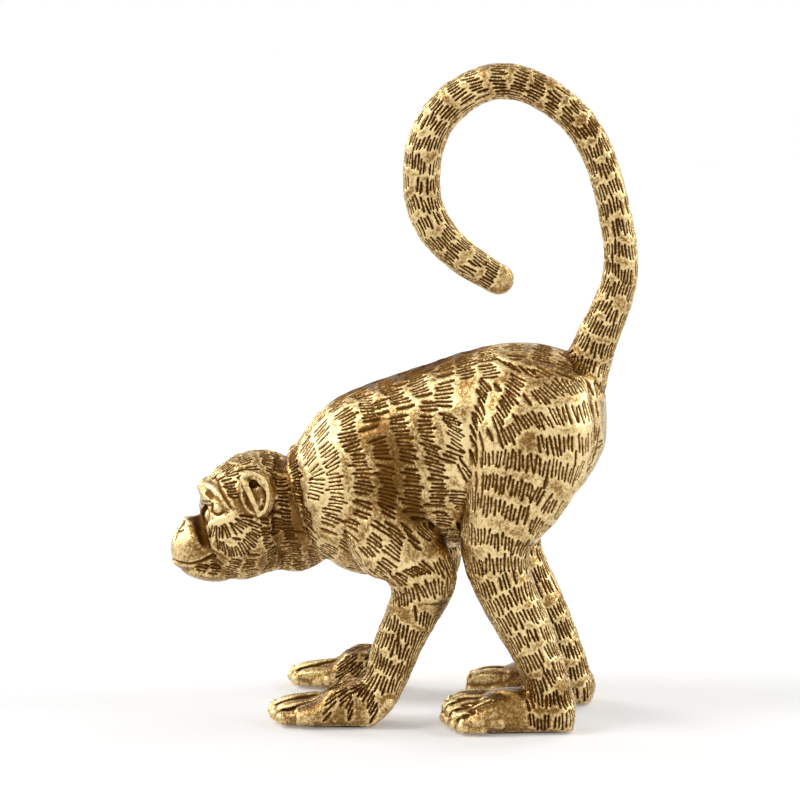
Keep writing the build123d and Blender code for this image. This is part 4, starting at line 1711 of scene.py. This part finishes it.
@dataclass(frozen=True)
class Fur:
    """Rows of strokes over the figure, as seen on its left, and combs that fill in between them.

    All are in millimetres. A limb's section is its middle, half of its size fore and aft or up and
    down, and half of its width.

    Attributes:
        trunk: Sections of the body, from the neck to the rump.
        haunch: Sections of a thigh.
        shin: Sections from the knee to the sole.
        upper_arm: Sections from the shoulder to the elbow.
        forearm: Sections from the elbow to the fingers.
        tail: Middles of the tail's sections.
        trunk_rows: Rows picked on the body.
        arm_rows: Rows picked on the upper arm.
        haunch_rows: Rows picked on the haunch.
        trunk_flow: Direction of the body's hair.
        haunch_flow: Direction of the hind leg's hair.
        arm_flow: Direction of the foreleg's hair.
    """

    trunk: Sections = (
        (-50, 0, 84, 26, 24), (-41, 0, 89.6, 28, 25), (-29.4, 0, 92.8, 35, 27.5),
        (-11.2, 0, 101.3, 41, 31), (12.9, 0, 111.1, 40, 31), (36.9, 0, 118.6, 41, 30.5),
        (59, 0, 124.4, 38, 29), (76, 0, 127.5, 30, 23), (88, 0, 130.4, 16, 14))
    haunch: Sections = (
        (63, 13, 156, 15, 9), (60, 16, 143, 25, 15), (57.5, 18.5, 128, 29, 18),
        (55, 19.5, 112, 28, 19), (50, 20.6, 96, 23, 18), (45, 21, 80, 18, 16),
        (45.2, 21, 69.7, 15, 14))
    shin: Sections = (
        (45.2, 21, 69.7, 15, 14), (50.5, 21, 54, 14, 13), (58.7, 21, 37, 12.5, 12),
        (65, 21, 22, 12.5, 12), (67, 21, 12, 14.5, 12.5), (67.5, 21, 4, 15, 13))
    upper_arm: Sections = (
        (-12.0, 17.5, 92.0, 26, 17), (-4.1, 19.3, 82.9, 25, 17), (6.7, 21.6, 71, 21, 15),
        (11.2, 23, 55.1, 15, 14))
    forearm: Sections = (
        (11.2, 23, 55.1, 15, 14), (3, 24.6, 36, 13, 13), (-0.7, 26, 25.9, 12.5, 12.5),
        (-5, 27.7, 16, 13, 12.5), (-12, 28.2, 10.5, 13, 13.5), (-21, 28.6, 7, 11, 13.5),
        (-27, 28.8, 6, 9, 13.5))
    tail: Sections = (
        (75.6, 139.6), (83.0, 163.9), (91.9, 187.7), (92.6, 201.9), (90.0, 216.8), (86.3, 231.5),
        (77.1, 251.4), (61.9, 265.4), (41.7, 271.7), (24.0, 265.1), (12.1, 251.4), (8.1, 230.3),
        (11.6, 213.9), (21.9, 201.2), (41.2, 188.8))
    trunk_rows: tuple[Row, ...] = (
        ((-40.6, 13.4, 118.3), (-37.3, 19.2, 115.1), (-34.6, 23, 110.5), (-32.6, 25.3, 105.2),
         (-32.3, 25.8, 100.6), (-32.6, 25.9, 95.8)),
        ((-32.9, 15.2, 126.5), (-30.8, 20.1, 121.2), (-28.1, 24, 117.1), (-25.6, 26.6, 111.9),
         (-23.9, 28.1, 106), (-23.3, 28.7, 100.5), (-22.4, 28.4, 96.6), (-25.6, 26.9, 90.5),
         (-28.1, 24.6, 82.2)),
        ((-18.3, 8, 139.8), (-14.2, 14, 138.4), (-11.1, 20.1, 133.6), (-8.2, 24.8, 127.3)),
        ((-23.2, 14.9, 133), (-19.6, 20.7, 128.7), (-19.5, 23.3, 124.4), (-17.1, 26, 120.1),
         (-14.7, 28.1, 115.8), (-12.6, 29.2, 111.3), (-11, 30.2, 104.5), (-10.6, 30.1, 99.7),
         (-11.1, 29.9, 94.9), (-13.9, 30, 91), (-17.1, 28.8, 87.3), (-17.1, 28.7, 82.5),
         (-20.3, 22.7, 74)),
        ((-5.9, 26.9, 123), (-4.1, 29, 118.7), (-2.5, 29.9, 114.1), (-1.4, 30.8, 107.2),
         (-0.5, 30.5, 102.5), (-1.1, 30.1, 97.7), (-0.5, 30.6, 93.1), (-1.3, 31.6, 90.4),
         (-3.9, 32.9, 84.8), (-5.7, 33.3, 79.1), (-11, 30.9, 73.7)),
        ((2.6, 24.5, 132.7), (4.6, 27.3, 126.6), (6.4, 29.4, 122.3), (7.9, 30.2, 117.3),
         (9, 30.8, 112.3), (9.8, 30.3, 107.1), (9.7, 29.7, 101.8), (9.1, 29, 96.9), (9, 28.2, 92)),
        ((14.7, 26.2, 133.3), (15.5, 28, 128.5), (16.3, 29.5, 124), (17.8, 30.2, 119),
         (18.8, 30.5, 114.4), (19.8, 30.5, 109.8), (20.6, 29.8, 105), (20.5, 29.1, 100.6),
         (19.3, 27.7, 95.6)),
        ((24.7, 27, 133.7), (26.9, 28.5, 129.3), (28, 29.6, 124.4), (28.1, 30, 119.8),
         (25.8, 30.3, 115.1)),
        ((-6.9, 6.9, 144.7), (-3.1, 14.2, 142.5), (-0.1, 17.5, 140.6), (3.5, 21.3, 138)),
        ((6.4, 5.7, 149.7), (8.6, 12.9, 147.3), (11, 18.7, 143.4), (12.6, 21.9, 140.2)),
        ((20, 9.9, 152.9), (21.2, 14.1, 151.1)),
        ((21, 18.9, 146.6), (21.6, 22.5, 141.9), (22.1, 25.4, 137.2)),
        ((28.7, 7.9, 156.7), (30.3, 15.2, 152.9), (30.8, 19.6, 148.8)))
    arm_rows: tuple[Row, ...] = (
        ((2.6, 32.1, 86.8), (3, 34, 80.6), (1.2, 34.9, 75)),
        ((7.6, 30.7, 86.7), (10.2, 32.2, 81.9), (12.3, 33.2, 77.5)))
    haunch_rows: tuple[Row, ...] = (
        ((81.8, 13, 146.1), (76.1, 20.9, 147), (70.9, 23.7, 146.8), (65.7, 26.8, 144.8),
         (60.5, 29.3, 142.7)),
        ((83.1, 16.3, 136.8), (78.2, 26.1, 136.7), (71.7, 30.3, 135.7), (65.2, 32.9, 134.1),
         (59.8, 33.7, 134.1), (55.7, 34, 133.1), (52.1, 34.6, 129.4), (48.5, 34.7, 126.5),
         (46.2, 34.6, 125.5)),
        ((82.7, 24.1, 123), (76.5, 30.6, 124.4), (70, 33.8, 123.8), (66, 35, 123.9),
         (61.9, 35.5, 124.3)),
        ((80.2, 25.5, 112), (74.9, 31.5, 112.4), (70.1, 34.5, 114.7), (64.4, 36.4, 115.7),
         (59, 37, 116.6), (52.5, 36.7, 118.2), (46.4, 35.8, 117.4), (41.5, 34.2, 116.9),
         (34.9, 30.1, 117)),
        ((64.9, 35.5, 102.6), (60.9, 37, 104.6), (55.5, 37.8, 105.5), (49.9, 37.3, 107.1),
         (45.2, 36.6, 107.7), (39.2, 33.9, 108)),
        ((59, 36.1, 94.6), (50, 36.6, 96.8), (42.8, 36.2, 98.7), (36.8, 33, 99.3),
         (32.3, 28.1, 100.1)),
        ((52.5, 21.5, 150.3), (51, 27, 144.9), (47.9, 31.2, 137.6), (44.5, 32.7, 131.7),
         (42.2, 33, 126.1)),
        ((38.6, 21.5, 147.6), (38.1, 24.3, 143.3), (38.1, 27.4, 137.7), (36, 28.5, 131.7),
         (35.2, 29.3, 127.6), (35.8, 30, 123.1), (35.4, 30.3, 117.5), (32.5, 30, 113.2),
         (30.6, 29.6, 109.3)))
    trunk_flow: Flow = Flow((
        (-32, 125.4, -60), (-28.1, 118, -40), (-25.6, 111.4, -30), (-23.8, 105.1, 0),
        (-24.3, 99.9, 5), (-39.1, 117.8, -55), (-35.1, 110.5, -35), (-32.6, 102, 0),
        (-33.8, 91.7, 8), (-23.1, 132.6, -50), (-21.3, 129.4, -30), (-20.7, 125.2, -5),
        (-11.2, 111.4, 0), (-10.1, 99.7, 10), (-11.1, 94.9, 18), (-17.1, 87.3, 15),
        (-18.6, 77.1, 30), (-11, 73.7, 40), (-3.9, 144.3, -15), (7.1, 148.3, -30),
        (-14.2, 138.4, 20), (9.4, 105.1, 8), (15.9, 130.7, 0), (24.8, 133.3, 20), (27, 126.7, 30),
        (28, 122.1, 35), (28.1, 117.5, 20), (20.5, 100.6, 5), (-4.3, 83.9, 30), (2.7, 86.4, 20),
        (4, 79.7, 45), (21.6, 141.9, 0), (30.1, 152.9, -15), (-40, 124, -55), (-20, 140, -35),
        (0, 147, -22), (20, 154, -20), (40, 160, -8), (60, 163, 5), (75, 160, 15)))
    haunch_flow: Flow = Flow((
        (50.3, 146.1, 50), (45.7, 135.3, 55), (42.2, 126.1, 65), (38.2, 136.8, 50), (34.7, 128, 60),
        (32.6, 113.6, 60), (58.4, 134.5, 60), (65.2, 134.1, 65), (71.7, 136.6, 70), (79.4, 137, 78),
        (75.3, 146.7, 70), (64.3, 145.2, 55), (49.4, 127, 60), (70, 124.2, 75), (75.6, 124.9, 90),
        (82.7, 123, 90), (40, 116.8, 85), (49.7, 118, 94), (59, 116.6, 90), (70.1, 114.2, 98),
        (76.5, 112.7, 105), (79.8, 111.6, 115), (40.2, 107.6, 95), (54.6, 105.5, 103),
        (64.9, 102.6, 118), (35.2, 99, 92), (42.8, 98.7, 96), (46, 86, 92), (45, 72, 86),
        (62, 158, 45)))
    arm_flow: Flow = Flow((
        (-19.1, 81.4, 20), (-20.5, 74.8, 25), (-11.7, 75.3, 35), (-5, 78.5, 40), (-4, 83.7, 25),
        (4.1, 80.8, 40), (2.5, 74.4, 30), (-0.5, 69.9, 30), (-5.6, 64.9, 30), (12.5, 77.7, 40),
        (12.9, 68.7, 30), (10.1, 66.7, 25), (19.6, 66.6, 60), (21.8, 61.7, 80), (9.8, 56.4, 80),
        (3.9, 49.6, 88), (7.9, 45.8, 98), (-1.7, 38, 104), (3.3, 34.7, 104), (9.7, 38.4, 105),
        (-4.9, 28.4, 102), (-9.2, 20, 118), (-16.9, 17, 140), (-12.5, 12, 115), (-3.4, 12.4, 110),
        (1.1, 24.2, 110)))

    def build(self, tooling: Tooling) -> None:
        """Lays all strokes, the picked rows first."""
        deep = 0.44 * MM
        still = Vector()
        for side in Side:
            lead = mm(ARM_LEAD, 0, 0) if side is Side.RIGHT else still
            arm_hair = partial(self.arm_hair, lead)
            self.lay_rows(tooling, self.haunch_rows, side, still, self.haunch_flow.at)
            self.lay_rows(tooling, self.arm_rows, side, lead, arm_hair)
            self.lay_rows(tooling, self.trunk_rows, side, still, self.trunk_flow.at)
            tooling.comb(Comb(
                self.limb(self.haunch, side, still), period=10.2 * MM, length=7.2 * MM,
                depth=deep, slack=1.1, hair=self.haunch_flow.at))
            tooling.comb(Comb(
                self.limb(self.shin, side, still), period=9.0 * MM, depth=deep, wanted=off_floor))
            tooling.comb(Comb(
                self.limb(self.upper_arm, side, lead), slack=1.1, depth=deep, hair=arm_hair))
            tooling.comb(Comb(
                self.limb(self.forearm, side, lead), period=8.6 * MM, depth=deep, hair=arm_hair,
                wanted=off_floor))
        tooling.comb(Comb(
            [station(x, 0, z, 12, 12) for x, z in self.tail], period=8.6 * MM, spacing=1.5 * MM,
            length=5.8 * MM, half_width=0.34 * MM, depth=0.42 * MM))
        tooling.comb(Comb(
            [station(*section) for section in self.trunk], period=9.2 * MM, depth=deep,
            hair=self.trunk_flow.at))

    def arm_hair(self, lead: Vector, place: Vector) -> Vector:
        """Direction of the hair at a place on an arm that stands ahead by lead."""
        return self.arm_flow.at(place + lead)

    def limb(self, sections: Sections, side: Side, lead: Vector) -> list[Station]:
        """Sections of a limb on one side, moved ahead by lead."""
        return [station(x - lead.x / MM, side.value * y, z, deep, wide)
                for x, y, z, deep, wide in sections]

    def lay_rows(self, tooling: Tooling, rows: Iterable[Row], side: Side, lead: Vector,
                 hair: Callable[[Vector], Vector]) -> None:
        """Lays picked rows on one side of the animal.

        Args:
            tooling: Takes the strokes.
            rows: Rows as they stand on the left, but for their Y, which is positive.
            side: The side.
            lead: How far ahead they stand there.
            hair: Direction of the hair at a place.
        """
        brush = Comb(
            [], spacing=1.7 * MM, length=7.4 * MM, depth=0.46 * MM, clear=2.0 * MM, hair=hair)
        for path in rows:
            tooling.row([mm(x, side.value * y, z) - lead for x, y, z in path], brush)


def paint_light_and_shade_patches(spots: list[Spot]) -> None:
    """Painted highlights and painted shade on the body and tail, the same on both sides."""
    # Negative strengths paint highlights on shoulders, haunch edges, shins and tail edges;
    # positive paint shade mid-body, on back, tail top and chest, and low at the hands and feet
    for x, y, z, radius, strength in (
            (-33, 24, 112, 14, -0.5), (-30, 25, 98, 13, -0.45), (-29, 17, 124, 12, -0.4),
            (31, 30, 142, 9, -0.5), (31, 30, 126, 9, -0.55), (30, 30, 110, 9, -0.45),
            (44, 34, 122, 8, -0.2), (99, 3, 215, 8, -0.25), (98, 3, 200, 8, -0.25),
            (95, 3, 235, 8, -0.25), (2, 3, 232, 8, -0.25), (5, 3, 212, 8, -0.25),
            (6, 3, 250, 8, -0.2), (91, 11, 216, 7, 0.15), (92, 11, 198, 7, 0.15),
            (86, 11, 234, 8, 0.2), (76, 9, 254, 11, 0.25), (60, 7, 268, 11, 0.3),
            (43, 6, 274, 10, 0.2), (80, 22, 138, 13, -0.35), (81, 24, 122, 13, -0.3),
            (79, 25, 108, 12, -0.25), (-10, 26, 128, 17, 0.4), (6, 28, 126, 18, 0.4),
            (-8, 29, 110, 20, 0.4), (10, 29, 108, 20, 0.4), (0, 29, 94, 18, 0.4),
            (-7, 25, 131, 4, 0.5), (0, 0, 148, 21, 0.47), (22, 0, 156, 21, 0.47),
            (-22, 0, 140, 16, 0.4), (62, 12, 157, 18, 0.45), (70, 20, 149, 13, 0.3),
            (54, 26, 145, 13, 0.3), (56, 33, 128, 13, 0.28), (78, 3, 158, 12, 0.3),
            (-46, 10, 104, 16, 0.4), (-45, 20, 88, 15, 0.4), (-43, 14, 72, 15, 0.35),
            (16, 28, 88, 15, 0.4), (52, 34, 105, 15, 0.25), (10, 30, 62, 12, 0.2),
            (-24, 28, 12, 22, 0.5), (56, 22, 12, 24, 0.5), (50, 30, 54, 14, -0.25),
            (60, 30, 34, 14, -0.25)):
        for side in Side:
            spots.append(Spot(mm(x, side.value * y, z), radius * MM, strength))


def model_joins(wax: Wax) -> None:
    """Smooths the neck, wrists and ankles, and lowers the backs of the hands."""
    neck = Seam.of("head")
    across = Vector((0, 1, 0))
    upward = across.cross(neck.outward)
    places = 12
    for number in range(places):
        turn = math.tau * number / places
        rim = neck.centre + (across * math.cos(turn) + upward * math.sin(turn)) * 19 * MM
        wax.calms.append(Calm(rim, 13 * MM, 2.2 * MM))
    wax.pushes.append(Push(mm(-19.5, -28.5, 23.0), 12.5 * MM, mm(0, 0, -7.0)))
    wax.pushes.append(Push(mm(-26.0, -28.5, 16.0), 9 * MM, mm(0, 0, -1.5)))
    wax.pushes.append(Push(mm(-23.0, 28.5, 23.0), 12.5 * MM, mm(0, 0, -7.0)))
    for side in Side:
        lead, trail = (ARM_LEAD, FOOT_TRAIL) if side is Side.RIGHT else (0.0, 0.0)
        sign = side.value
        heel = ((-7.0, 4.6), (-3.8, 7.6), (-0.5, 11.5))
        for out in (22.0, 28.0, 34.0):
            wax.chain([mm(x - lead, sign * out, z) for x, z in heel], (3.4, 3.6, 3.6))
        tuft = ((45.0, 27.0, 14.6), (49.5, 28.5, 17.2), (53.5, 30.0, 17.6), (57.0, 31.5, 13.0))
        wax.chain([mm(x + trail, sign * y, z) for x, y, z in tuft], (1.0, 1.5, 1.6, 1.0), 0.15)
        for out in (12.0, 18.0, 24.0, 30.0):
            wax.pushes.append(Push(mm(80.5 + trail, sign * out, 1.5), 6.5 * MM, mm(-1.2, 0, 0)))
        for out in (20.0, 28.5, 36.0):
            wax.calms.append(Calm(mm(-10 - lead, sign * out, 19.0), 12 * MM, 2.0 * MM))
        for out in (13.0, 21.0, 29.0):
            wax.calms.append(Calm(mm(59 + trail, sign * out, 18.5), 11 * MM, 1.6 * MM))


def dress_core() -> None:
    """Gives the pins, the wire and the pads their finishes."""
    steel = Steel().build()
    felt = Felt().build()
    for name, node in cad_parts.items():
        finish = steel if name in pin_names() else felt if name.endswith("_pad") else None
        if finish is not None:
            node.data.materials.clear()
            node.data.materials.append(finish)


def main() -> None:
    """Builds the figurine and its studio."""
    logging.basicConfig(level=logging.INFO, format="%(message)s")
    Studio().build()
    gilding = Gilding().build()
    limbs = tuple(side.of(limb) for limb in ("arm", "leg") for side in Side)
    others = ("head", "tail", *limbs)

    castings = ("torso", *others, *pin_names())
    bare = one_skin(cast_copy(castings), BARE_VOXEL)
    wax = Wax(bare)
    marks: list[Mark] = []
    spots: list[Spot] = []
    head = Head()
    head.build(wax, marks, spots)
    dice = random.Random(5)
    for side in Side:
        hand_of(side).build(wax, marks, dice)
        foot_of(side).build(wax, marks, dice)
    model_joins(wax)
    paint_light_and_shade_patches(spots)
    form = cast_copy(castings)
    wax.add_to(form)
    master = one_skin(form, MASTER_VOXEL)
    wax.work(master, MASTER_VOXEL)
    tooling = Tooling(master, marks, spots, seed=11)
    head.comb(tooling)
    Fur().build(tooling)
    log.info("%d strokes, %d beads", len(tooling.strokes), len(wax.beads))
    Casting("torso", others, TORSO_VOXEL).build(tooling, wax, gilding)
    for node in others:
        Casting(node, ("torso",)).build(tooling, wax, gilding)
    bpy.data.meshes.remove(bare)
    bpy.data.meshes.remove(master)
    dress_core()


if __name__ == "__main__":
    main()
